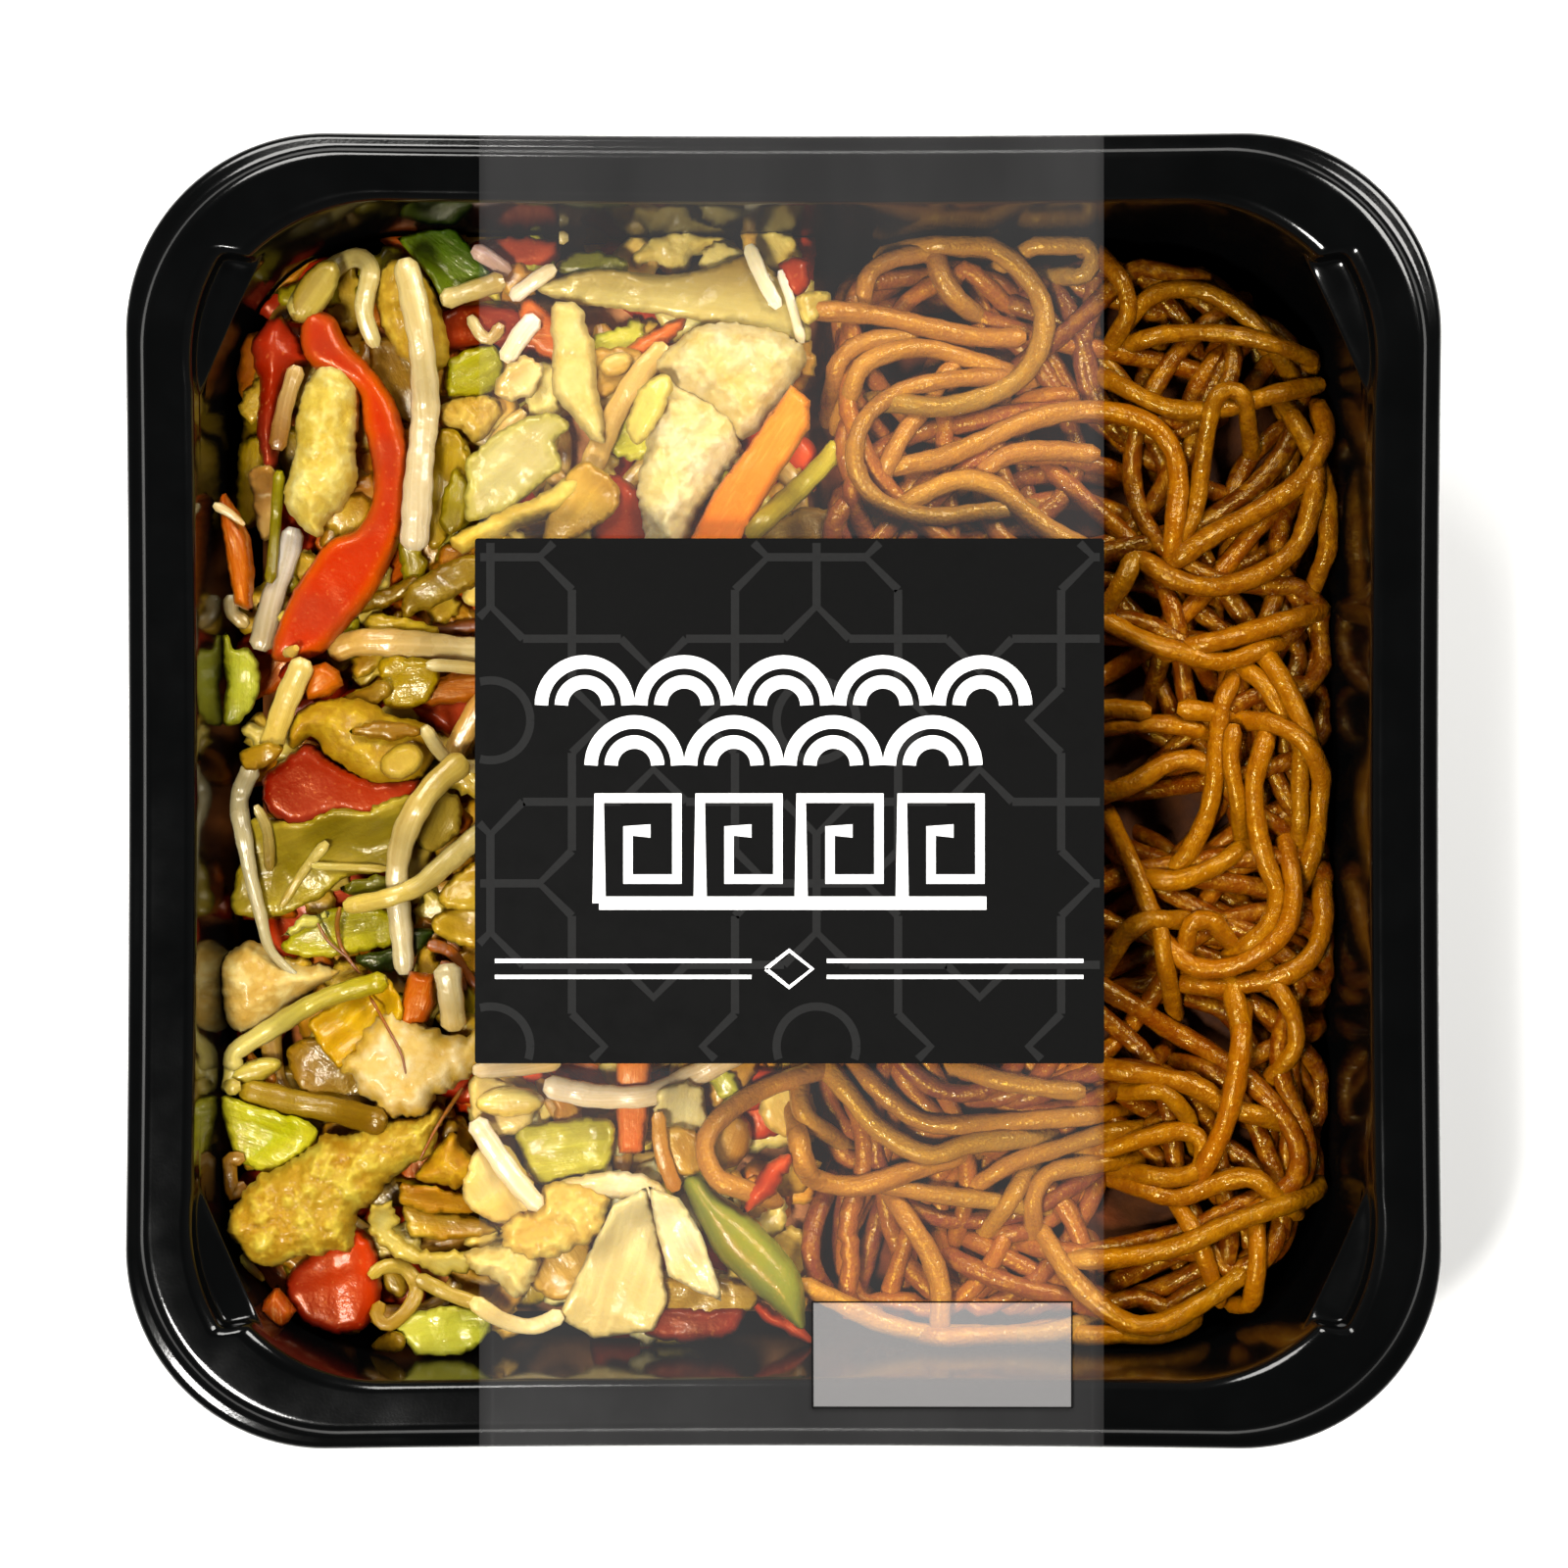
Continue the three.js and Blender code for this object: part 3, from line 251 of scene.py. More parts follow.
class Finish:
    """A material with its nodes."""

    def __init__(self, name):
        self.material = bpy.data.materials.new(name)
        self.material.use_nodes = True
        self.nodes = self.material.node_tree.nodes
        self.links = self.material.node_tree.links
        self.shader = self.nodes["Principled BSDF"]
        self.place = self.node("ShaderNodeTexCoord").outputs["Object"]

    def set(self, **values):
        for name, value in values.items():
            self.shader.inputs[name.replace("_", " ")].default_value = value
        return self

    def node(self, kind, values=None, **settings):
        made = self.nodes.new(kind)
        for name, value in settings.items():
            setattr(made, name, value)
        for name, value in (values or {}).items():
            made.inputs[name].default_value = value
        return made

    def link(self, start, end):
        self.links.new(start, end)

    def grain(self):
        return self.node("ShaderNodeAttribute", attribute_name="grain").outputs["Vector"]

    def tint(self):
        return self.node("ShaderNodeAttribute", attribute_name="tint").outputs["Color"]

    def lengthwise(self, along, across, around):
        """Places drawn out along a piece's own length, for fibres and veins."""
        ring = self.node("ShaderNodeAttribute", attribute_name="around").outputs["Vector"]
        both = self.node("ShaderNodeVectorMath", operation="ADD")
        self.link(self.stretched(self.grain(), (along, across, 1)), both.inputs[0])
        self.link(self.stretched(ring, (around, around, around)), both.inputs[1])
        return both.outputs["Vector"]

    def stretched(self, source, scale):
        made = self.node("ShaderNodeMapping", {"Scale": scale})
        self.link(source, made.inputs["Vector"])
        return made.outputs["Vector"]

    def speckle(self, scale, detail=3.0, roughness=0.55, source=None):
        made = self.node("ShaderNodeTexNoise", {"Scale": scale, "Detail": detail, "Roughness": roughness})
        self.link(source or self.place, made.inputs["Vector"])
        return made.outputs["Fac"]

    def cells(self, scale):
        made = self.node("ShaderNodeTexVoronoi", {"Scale": scale}, feature="SMOOTH_F1")
        self.link(self.place, made.inputs["Vector"])
        return made.outputs["Distance"]

    def spread(self, value, low, high, to_low, to_high):
        made = self.node("ShaderNodeMapRange", {"From Min": low, "From Max": high,
                                                "To Min": to_low, "To Max": to_high})
        self.link(value, made.inputs["Value"])
        return made.outputs["Result"]

    def blend(self, weight, first, second, mode="MIX"):
        """Colour between first and second; each is an output or a plain colour."""
        made = self.node("ShaderNodeMix", data_type="RGBA", blend_type=mode)
        self.link(weight, made.inputs["Factor"])
        for socket, value in ((made.inputs[6], first), (made.inputs[7], second)):
            if hasattr(value, "links"):
                self.link(value, socket)
            else:
                socket.default_value = (*value, 1)
        return made.outputs[2]

    def bumps(self, *layers, coat=False):
        """Layers of (height, depth in mm, strength), one on the other; a wet coat follows them too."""
        below = None
        for height, depth, strength in layers:
            made = self.node("ShaderNodeBump", {"Strength": strength, "Distance": depth * MM})
            self.link(height, made.inputs["Height"])
            if below is not None:
                self.link(below, made.inputs["Normal"])
            below = made.outputs["Normal"]
        self.link(below, self.shader.inputs["Normal"])
        if coat:
            self.link(below, self.shader.inputs["Coat Normal"])

    def base(self, value):
        self.link(value, self.shader.inputs["Base Color"])

    def gloss(self, pattern, low, high):
        """Roughness between two values."""
        self.link(self.spread(pattern, 0.3, 0.7, low, high), self.shader.inputs["Roughness"])


def tray_plastic():
    make = Finish("black moulded plastic")
    haze = make.speckle(90)
    fine = make.speckle(2600, 2)
    make.base(make.blend(haze, (0.0008, 0.0009, 0.0009), (0.0015, 0.0016, 0.0017)))
    make.gloss(haze, 0.08, 0.15)
    make.bumps((make.speckle(55, 2), 0.35, 0.25), (fine, 0.02, 0.25))
    return make.set(IOR=1.5, Specular_IOR_Level=0.27).material


def film_plastic():
    make = Finish("milky film")
    streak = make.speckle(60, 3, source=make.stretched(make.place, (1, 0.25, 1)))
    make.base(make.blend(streak, (0.86, 0.85, 0.87), (0.97, 0.96, 0.98)))
    make.link(make.spread(streak, 0.25, 0.75, 0.008, 0.0114), make.shader.inputs["Alpha"])
    make.gloss(make.speckle(200), 0.2, 0.35)
    make.bumps((make.speckle(40, 2), 0.2, 0.3))
    return make.material


def printed(name, dark, light, alpha=1.0):
    make = Finish(name)
    fine = make.speckle(1500, 3)
    make.base(make.blend(fine, dark, light))
    make.gloss(make.speckle(260), 0.49, 0.63)
    make.bumps((fine, 0.01, 0.2))
    return make.set(Alpha=alpha, Specular_IOR_Level=0.05).material


def noodle_gloss():
    make = Finish("wet soy noodle")
    cloud = make.speckle(1.0, 3, source=make.lengthwise(0.16, 1, 1.1))
    dark = make.blend(make.spread(cloud, 0.42, 0.75, 0, 0.55), make.tint(), (0.12, 0.026, 0.001))
    gold = make.spread(make.speckle(700), 0.45, 0.75, 0, 0.3)
    make.base(make.blend(gold, dark, (0.46, 0.19, 0.003)))
    make.gloss(make.speckle(420, 2), 0.24, 0.42)
    make.bumps((cloud, 0.2, 0.5), (make.speckle(800, 2), 0.14, 0.5), (make.speckle(1700, 2), 0.16, 1.0),
               coat=True)
    return make.set(Subsurface_Weight=0.15, Subsurface_Scale=0.0015, Subsurface_Radius=(1.0, 0.45, 0.05),
                    Coat_Weight=0.16, Coat_Roughness=0.02, Specular_IOR_Level=0.5,
                    Specular_Tint=(1.0, 0.64, 0.06, 1)).material


def chicken_crust():
    make = Finish("fried chicken coat")
    gold = make.spread(make.speckle(260, 6, 0.65), 0.46, 0.74, 0, 0.8)
    crust = make.blend(gold, make.tint(), (0.84, 0.7, 0.3), "MULTIPLY")
    pale = make.spread(make.speckle(700, 4, 0.6), 0.5, 0.72, 0, 0.6)
    make.base(make.blend(pale, crust, (1.12, 1.14, 1.2), "MULTIPLY"))
    make.gloss(make.speckle(500), 0.42, 0.65)
    make.bumps((make.speckle(380, 5, 0.65), 0.6, 0.5), (make.cells(1500), 0.12, 0.35))
    return make.set(Subsurface_Weight=0.4, Subsurface_Scale=0.0025, Subsurface_Radius=(1.0, 0.75, 0.3),
                    Coat_Weight=0.08, Coat_Roughness=0.12, Specular_IOR_Level=0.3,
                    Specular_Tint=(1, 0.85, 0.5, 1)).material


def pepper_skin(name, deep):
    make = Finish(name)
    cloud = make.spread(make.speckle(130, 3), 0.4, 0.72, 0, 0.75)
    skin = make.blend(cloud, make.tint(), deep)
    dots = make.spread(make.cells(1100), 0.0, 0.2, 0.14, 0)
    make.base(make.blend(dots, skin, (0.8, 0.3, 0.06)))
    make.gloss(make.speckle(300), 0.26, 0.42)
    make.bumps((make.speckle(160, 2), 0.4, 0.35), (make.speckle(1500, 3), 0.1, 0.6), coat=True)
    return make.set(Subsurface_Weight=0.12, Subsurface_Scale=0.002, Subsurface_Radius=(1.0, 0.16, 0.05),
                    Coat_Weight=0.1, Coat_Roughness=0.05, Specular_IOR_Level=0.35,
                    Specular_Tint=(1, 0.35, 0.12, 1)).material


def carrot_flesh():
    make = Finish("cooked carrot")
    fibre = make.speckle(1.3, 4, source=make.lengthwise(0.22, 1.7, 1.5))
    streak = make.blend(make.spread(fibre, 0.45, 0.75, 0, 0.35), make.tint(), (0.42, 0.13, 0.006))
    make.base(make.blend(make.spread(fibre, 0.25, 0.45, 0.25, 0), streak, (0.8, 0.4, 0.06)))
    make.gloss(make.speckle(500), 0.22, 0.42)
    make.bumps((fibre, 0.25, 0.5), (make.speckle(1500), 0.1, 0.5), coat=True)
    return make.set(Subsurface_Weight=0.2, Subsurface_Scale=0.002, Subsurface_Radius=(1.0, 0.4, 0.1),
                    Coat_Weight=0.1, Coat_Roughness=0.07, Specular_IOR_Level=0.35,
                    Specular_Tint=(1, 0.7, 0.3, 1)).material


def leaf_flesh(name, ribbed):
    """Cabbage, leek and onion: veins run along each piece, and a wet coat glints."""
    make = Finish(name)
    ribs = make.speckle(1.0, 5, 0.6, source=make.lengthwise(0.09, 0.9, 1.4))
    patch = make.speckle(150, 4)
    veined = make.blend(make.spread(ribs, 0.5, 0.7, 0, ribbed), make.tint(), (1.4, 1.45, 1.5), "MULTIPLY")
    stained = make.blend(make.spread(patch, 0.5, 0.8, 0, 0.5), veined, (0.8, 0.66, 0.4), "MULTIPLY")
    furrow = make.spread(ribs, 0.3, 0.46, 0.8 * ribbed, 0)
    make.base(make.blend(furrow, stained, (0.75, 0.64, 0.4), "MULTIPLY"))
    make.gloss(patch, 0.26, 0.46)
    make.bumps((ribs, 0.5, 0.6 * ribbed), (make.speckle(420, 3), 0.25, 0.5),
               (make.speckle(1700, 2), 0.09, 0.7), coat=True)
    return make.set(Subsurface_Weight=0.4, Subsurface_Scale=0.003, Subsurface_Radius=(1.0, 0.75, 0.2),
                    Coat_Weight=0.22, Coat_Roughness=0.05, Specular_IOR_Level=0.35,
                    Specular_Tint=(1, 0.82, 0.4, 1)).material


def sprout_flesh():
    make = Finish("wet bean sprout")
    ribs = make.speckle(1.0, 4, 0.6, source=make.lengthwise(0.07, 1, 1.9))
    cloud = make.speckle(190, 3)
    stain = make.blend(make.spread(cloud, 0.5, 0.8, 0, 0.5), make.tint(), (0.85, 0.74, 0.55), "MULTIPLY")
    pale = make.blend(make.spread(ribs, 0.48, 0.66, 0, 0.8), stain, (1.22, 1.28, 1.6), "MULTIPLY")
    make.base(make.blend(make.spread(ribs, 0.3, 0.45, 0.5, 0), pale, (0.82, 0.74, 0.56), "MULTIPLY"))
    make.gloss(cloud, 0.22, 0.4)
    make.bumps((ribs, 0.3, 0.5), (make.speckle(500, 3), 0.2, 0.5), (make.cells(1800), 0.06, 0.6), coat=True)
    return make.set(Subsurface_Weight=0.55, Subsurface_Scale=0.003, Subsurface_Radius=(1.0, 0.8, 0.5),
                    Coat_Weight=0.32, Coat_Roughness=0.05, Specular_Tint=(1, 0.92, 0.75, 1)).material


def fried_shred():
    make = Finish("fried onion shred")
    crisp = make.speckle(900, 4)
    make.base(make.blend(make.spread(crisp, 0.35, 0.7, 0, 0.8), make.tint(), (0.16, 0.05, 0.008)))
    make.gloss(crisp, 0.28, 0.5)
    make.bumps((crisp, 0.3, 0.6))
    return make.material


def dark_sauce_and_shade():
    # Dark sauce; where it lies among the noodles, its darkness is partly painted shade of the deep gaps.
    make = Finish("dark sauce below")
    cloud = make.speckle(140, 4)
    murk = make.spread(cloud, 0.35, 0.65, 0.75, 0)
    make.base(make.blend(murk, make.tint(), (0.1, 0.06, 0.03), "MULTIPLY"))
    make.gloss(cloud, 0.6, 0.9)
    make.bumps((make.speckle(300, 4), 0.8, 0.6))
    return make.set(Specular_IOR_Level=0.08).material


# Trees that repeat a section along lines

def sweep_tree(name, **sizes):
    """A tree that sweeps a section along lines, with its start and its sweep for the section to join."""
    tree = bpy.data.node_groups.new(name, "GeometryNodeTree")
    for label, kind in {"Lines": "Geometry", **sizes, "Finish": "Material"}.items():
        tree.interface.new_socket(label, in_out="INPUT", socket_type="NodeSocket" + kind)
    tree.interface.new_socket("Swept", in_out="OUTPUT", socket_type="NodeSocketGeometry")
    nodes, link = tree.nodes, tree.links.new
    start, end = nodes.new("NodeGroupInput"), nodes.new("NodeGroupOutput")
    curve = nodes.new("GeometryNodeMeshToCurve")
    level = nodes.new("GeometryNodeSetCurveNormal")
    level.mode = "Z_UP"
    sweep = nodes.new("GeometryNodeCurveToMesh")
    sweep.inputs["Fill Caps"].default_value = True
    real = nodes.new("GeometryNodeRealizeInstances")
    paint = nodes.new("GeometryNodeSetMaterial")
    link(start.outputs["Lines"], curve.inputs["Mesh"])
    link(curve.outputs["Curve"], level.inputs["Curve"])
    link(level.outputs["Curve"], sweep.inputs["Curve"])
    link(sweep.outputs["Mesh"], real.inputs["Geometry"])
    link(real.outputs["Geometry"], paint.inputs["Geometry"])
    link(start.outputs["Finish"], paint.inputs["Material"])
    link(paint.outputs["Geometry"], end.inputs["Swept"])
    return tree, start, sweep


def strand_tree():
    """Round strands along their lines; each point has its own thickness."""
    tree, start, sweep = sweep_tree("strands along lines", Sides="Int", Section="Vector")
    nodes, link = tree.nodes, tree.links.new
    ring = nodes.new("GeometryNodeCurvePrimitiveCircle")
    ring.inputs["Radius"].default_value = 1.0
    rim_place = nodes.new("GeometryNodeInputPosition")
    mark = nodes.new("GeometryNodeStoreNamedAttribute")
    mark.data_type = "FLOAT_VECTOR"
    mark.inputs["Name"].default_value = "around"
    press = nodes.new("GeometryNodeTransform")
    thick = nodes.new("GeometryNodeInputNamedAttribute")
    thick.inputs["Name"].default_value = "thickness"
    link(start.outputs["Sides"], ring.inputs["Resolution"])
    link(ring.outputs["Curve"], mark.inputs["Geometry"])
    link(rim_place.outputs["Position"], mark.inputs["Value"])
    link(mark.outputs["Geometry"], press.inputs["Geometry"])
    link(start.outputs["Section"], press.inputs["Scale"])
    link(press.outputs["Geometry"], sweep.inputs["Profile Curve"])
    link(thick.outputs["Attribute"], sweep.inputs["Scale"])
    return tree


def ribbon_tree():
    """Flat printed lines of one width."""
    tree, start, sweep = sweep_tree("printed lines", Width="Float", Thickness="Float")
    section = tree.nodes.new("GeometryNodeCurvePrimitiveQuadrilateral")
    tree.links.new(start.outputs["Width"], section.inputs["Width"])
    tree.links.new(start.outputs["Thickness"], section.inputs["Height"])
    tree.links.new(section.outputs["Curve"], sweep.inputs["Profile Curve"])
    return tree


def grown(name, mesh, tree, **inputs):
    """The plain mesh that a tree makes from a mesh of lines."""
    lines = bpy.data.objects.new(name + "_lines", mesh)
    bpy.context.scene.collection.objects.link(lines)
    modifier = lines.modifiers.new("grow", "NODES")
    modifier.node_group = tree
    for item in tree.interface.items_tree:
        if item.in_out == "INPUT" and item.name in inputs:
            modifier[item.identifier] = inputs[item.name]
    graph = bpy.context.evaluated_depsgraph_get()
    made = bpy.data.meshes.new_from_object(lines.evaluated_get(graph), preserve_all_data_layers=True,
                                           depsgraph=graph)
    bpy.data.objects.remove(lines)
    made.name = name
    return made


class Strands:
    """Lines of one kind of strand, each point with its thickness, tint and grain."""

    def __init__(self):
        self.points, self.edges, self.thick, self.tints, self.grains = [], [], [], [], []
        self.count = 0

    def add(self, line, thick, tints, seed):
        line = np.asarray(line, float)
        number = len(line)
        run = np.r_[0, np.cumsum(np.linalg.norm(np.diff(line, axis=0), axis=1))]
        self.points.append(line)
        self.edges.extend((self.count + i, self.count + i + 1) for i in range(number - 1))
        self.thick.append(np.broadcast_to(thick, number))
        self.tints.append(np.broadcast_to(tints, (number, 3)))
        self.grains.append(np.c_[run, np.zeros(number), np.full(number, seed * 7.3)])
        self.count += number

    def mesh(self, name, tree, sides, flat, finish):
        points = np.vstack(self.points)
        lines = mesh_of(name, points, [], np.vstack(self.tints), np.vstack(self.grains), self.edges)
        layer = lines.attributes.new("thickness", "FLOAT", "POINT")
        layer.data.foreach_set("value", (np.concatenate(self.thick) * MM).astype(np.float32))
        return grown(name, lines, tree, Sides=sides, Section=(1.0, flat, 1.0), Finish=finish)


# Tray

def corner_places():
    """Places along a corner from the side that faces X, closer together at the lug's hook."""
    return np.r_[np.linspace(0, 0.4, 17), np.linspace(0.415, 0.56, 16), np.linspace(0.59, 1, 14)]


def lug_reach(place):
    """The lug runs out along the corner and hooks back at its end."""
    run = LUG_REACH * np.clip(place / LUG_SHARE, 0, 1) ** 1.1
    return run * (1 - smoothstep((place - LUG_SHARE + 0.03) / 0.075))


def shelf_reach(place, radius):
    """The shelf's front edge is the chord across the lug's pocket."""
    sagitta = radius * (1 - math.cos(SHELF_SHARE * math.pi / 2))
    return np.clip(sagitta * (1 - ((place - SHELF_SHARE) / SHELF_SHARE) ** 2), 0, None)


def tray_ring(half, radius, z, lug, shelf):
    """One level line of the tray, once round."""
    place = corner_places()
    reach = radius + lug * lug_reach(place) - shelf * shelf_reach(place, radius)
    angle = place * math.pi / 2
    x = half - radius + reach * np.cos(angle)
    y = half - radius + reach * np.sin(angle)
    bow = SIDE_BOW * np.array([0.36, 0.64, 0.84, 0.96, 1, 0.96, 0.84, 0.64, 0.36])
    side = np.linspace(half - radius, radius - half, 11)[1:-1]
    ring = np.vstack([
        np.c_[x, y], np.c_[side, half - bow],
        np.c_[-x, y][::-1], np.c_[bow - half, side],
        np.c_[-x, -y], np.c_[-side, bow - half],
        np.c_[x, -y][::-1], np.c_[half - bow, -side],
    ])
    return np.c_[ring, np.full(len(ring), z)]


def wall_at(height, grow, lug=0.0, shelf=0.0):
    share = height / DEPTH
    return [BASE_HALF + (MOUTH_HALF - BASE_HALF) * share + grow,
            BASE_CORNER + (MOUTH_CORNER - BASE_CORNER) * share + grow, FOOT + height, lug, shelf]


def rim_at(inward, below, lug=0.0):
    corner = TRAY_CORNER + (MOUTH_CORNER - TRAY_CORNER) * inward / (TRAY_HALF - MOUTH_HALF)
    return [TRAY_HALF - inward, corner, RIM_TOP - below, lug, 0.0]


def panel_at(half, height):
    return [half, FOOT_CORNER, FOOT + height, 0.0, 0.0]


def turned(first, here, last):
    """Points round a turn."""
    return [(1 - t) ** 2 * first + 2 * t * (1 - t) * here + t**2 * last for t in np.linspace(0, 1, 6)]


def rounded_profile(corners):
    """The profile with every turn rounded; each corner is (place, round in mm)."""
    places = [np.array(place) for place, _ in corners]
    made = [places[0]]
    for before, (here, turn), after in zip(places, corners[1:-1], places[2:]):
        here = np.array(here)
        back = np.hypot(*(before - here)[[0, 2]]) + 1e-6
        on = np.hypot(*(after - here)[[0, 2]]) + 1e-6
        first = here + (before - here) * min(turn / back, 0.48)
        last = here + (after - here) * min(turn / on, 0.48)
        made += turned(first, here, last)
    made.append(places[-1])
    return made


def tray_mesh():
    under = [
        (panel_at(54, 1.0), 0.3), (panel_at(56, 0), 0.8), (panel_at(65, 0), 1), (wall_at(1.2, -0.6), 1.4),
        (wall_at(4, 0.8), 1.2), (wall_at(32.4, 0.8), 0.5), (wall_at(35, 0.8, 0, 1), 0.5),
        (wall_at(35.6, 0.8, 1), 0.4), (wall_at(39.2, 0.8, 1), 0.5), (rim_at(3.4, 0.8), 0.4),
        (rim_at(2.4, 1.9), 0.4), (rim_at(0.8, 1.9), 0.4), (rim_at(0.8, 4.6), 0.1),
    ]
    over = [
        (rim_at(0, 4.6), 0.1), (rim_at(0, 1.9), 0.7), (rim_at(0.5, 1.3), 0.4), (rim_at(1.9, 1.05), 0.5),
        (rim_at(2.5, 0.2), 0.3), (rim_at(3.1, 0), 0.4), (rim_at(7.6, 0, 1), 0.5),
        (wall_at(39.3, 0, 1), 0.7), (wall_at(36.4, 0, 1), 0.35), (wall_at(35.8, 0, 0, 1), 0.35),
        (wall_at(33.2, 0), 0.6), (wall_at(4, 0), 1.5), (wall_at(2, -1), 1.5), (panel_at(64, 0.8), 1.5),
        (panel_at(56, 0.8), 0.8), (panel_at(54, 1.8), 0.3),
    ]
    profile = rounded_profile([(panel_at(30, 1.0), 0.1)] + under + over + [(panel_at(30, 1.8), 0.1)])
    rings = [tray_ring(*place) for place in profile]
    number = len(rings[0])
    points = [*rings, [[0, 0, FOOT + 1.0]], [[0, 0, FOOT + 1.8]]]
    faces = []
    for level in range(len(rings) - 1):
        low, high = level * number, (level + 1) * number
        for i in range(number):
            j = (i + 1) % number
            faces.append((low + i, high + i, high + j, low + j)[::-1])
    under_middle, over_middle = len(rings) * number, len(rings) * number + 1
    last = (len(rings) - 1) * number
    for i in range(number):
        j = (i + 1) % number
        faces.append((under_middle, j, i))
        faces.append((over_middle, last + i, last + j))
    return mesh_of("tray", np.vstack(points), faces)


# Band and label

def band_mesh():
    """A film sleeve round the tray from front to back, with slight waves."""
    right = np.array([[BAND_FOOT, 0], [BAND_REACH, BAND_SHOULDER], [BAND_REACH, BAND_TOP]])
    corners = np.vstack([[-BAND_FOOT, 0], right, right[:0:-1] * (-1, 1)])
    line = []
    for before, here, after in zip(np.roll(corners, 1, 0), corners, np.roll(corners, -1, 0)):
        span = np.linalg.norm(after - here)
        turn = BAND_TURN / span
        first = here + (before - here) * BAND_TURN / np.linalg.norm(before - here)
        line += turned(first, here, here + (after - here) * BAND_TURN / span)
        for t in np.linspace(turn, 1 - turn, max(int(span / 3), 2))[1:-1]:
            line.append(here + (after - here) * t)
    line = np.array(line)
    ahead = np.roll(line, -1, 0) - np.roll(line, 1, 0)
    out = np.c_[ahead[:, 1], -ahead[:, 0]] / np.linalg.norm(ahead, axis=1)[:, None]
    across = np.linspace(BAND_LEFT, BAND_RIGHT, 40)
    number, rows = len(line), len(across)
    skins = []
    for inward in (0, FILM_THICK):
        for x in across:
            flat = line - out * inward
            wave = BAND_WAVE * np.sin(x / 7 + flat[:, 0] / 19) * np.sin(flat[:, 0] / 11 + 1)
            flat = flat - out * (0.12 + wave)[:, None] * (flat[:, 1:] > 2)
            skins.append(np.c_[np.full(number, x), flat])
    faces = []
    inner = rows * number
    for r in range(rows - 1):
        for i in range(number):
            j = (i + 1) % number
            a, b, c, d = r * number + i, r * number + j, (r + 1) * number + j, (r + 1) * number + i
            faces.append((d, c, b, a))
            faces.append((inner + a, inner + b, inner + c, inner + d))
    for i in range(number):
        j = (i + 1) % number
        last = (rows - 1) * number
        faces.append((i, j, inner + j, inner + i))
        faces.append((inner + last + i, inner + last + j, last + j, last + i))
    return mesh_of("film_band", np.vstack(skins), faces)


def sheet_mesh(name, left, right, front, back, low, top, corner):
    """A thin flat sheet with small round corners."""
    turn = np.linspace(0, math.pi / 2, 5)
    loop = []
    for cx, cy, start in ((right, back, 0), (left, back, 1), (left, front, 2), (right, front, 3)):
        angle = turn + start * math.pi / 2
        middle = np.array([cx - math.copysign(corner, cx - (left + right) / 2),
                           cy - math.copysign(corner, cy - (front + back) / 2)])
        loop.append(middle + corner * np.c_[np.cos(angle), np.sin(angle)])
    loop = np.vstack(loop)
    number = len(loop)
    points = np.vstack([np.c_[loop, np.full(number, low)], np.c_[loop, np.full(number, top)]])
    faces = [tuple(range(number))[::-1], tuple(range(number, 2 * number))]
    for i in range(number):
        j = (i + 1) % number
        faces.append((i, j, number + j, number + i))
    return mesh_of(name, points, faces)


class Print:
    """Lines to print, clipped to the label where asked."""

    def __init__(self, height):
        self.points, self.edges, self.height, self.lines = [], [], height, 0

    def line(self, points):
        first = len(self.points)
        self.lines += 1
        height = self.height + 0.004 * (self.lines % 7)
        self.points.extend((x, y, height) for x, y in points)
        self.edges.extend((first + i, first + i + 1) for i in range(len(points) - 1))

    def clipped(self, points, margin):
        """The part of a line that lies on the label."""
        low = np.array([LABEL_LEFT + margin, LABEL_FRONT + margin])
        high = np.array([LABEL_RIGHT - margin, LABEL_BACK - margin])
        dense = smooth_steps(points, 0.25)
        on = np.all((dense >= low) & (dense <= high), axis=1)
        start = None
        for i, inside in enumerate(np.r_[on, False]):
            if inside and start is None:
                start = i
            if not inside and start is not None:
                if i - start > 2:
                    self.line(straightened(dense[start:i]))
                start = None

    def arc(self, x, y, radius, start, end):
        angle = np.radians(np.linspace(start, end, 25))
        self.line(np.c_[x + radius * np.cos(angle), y + radius * np.sin(angle)])

    def mesh(self, name, tree, width, finish):
        lines = mesh_of(name, self.points, [], edges=self.edges)
        return grown(name, lines, tree, Width=width * MM, Thickness=0.04 * MM, Finish=finish)


def smooth_steps(points, step):
    """A straight-sided line in small even steps."""
    points = np.asarray(points, float)
    made = []
    for a, b in zip(points, points[1:]):
        count = max(int(np.linalg.norm(b - a) / step), 1)
        made.append(a + (b - a) * np.linspace(0, 1, count, endpoint=False)[:, None])
    return np.vstack(made + [points[-1:]])


def straightened(points):
    """The line without the points that lie between two others in a row."""
    ahead = np.diff(points, axis=0)
    ahead = ahead / np.linalg.norm(ahead, axis=1)[:, None]
    bends = np.r_[True, np.abs(ahead[:-1, 0] * ahead[1:, 1] - ahead[:-1, 1] * ahead[1:, 0]) > 0.01, True]
    return points[bends]


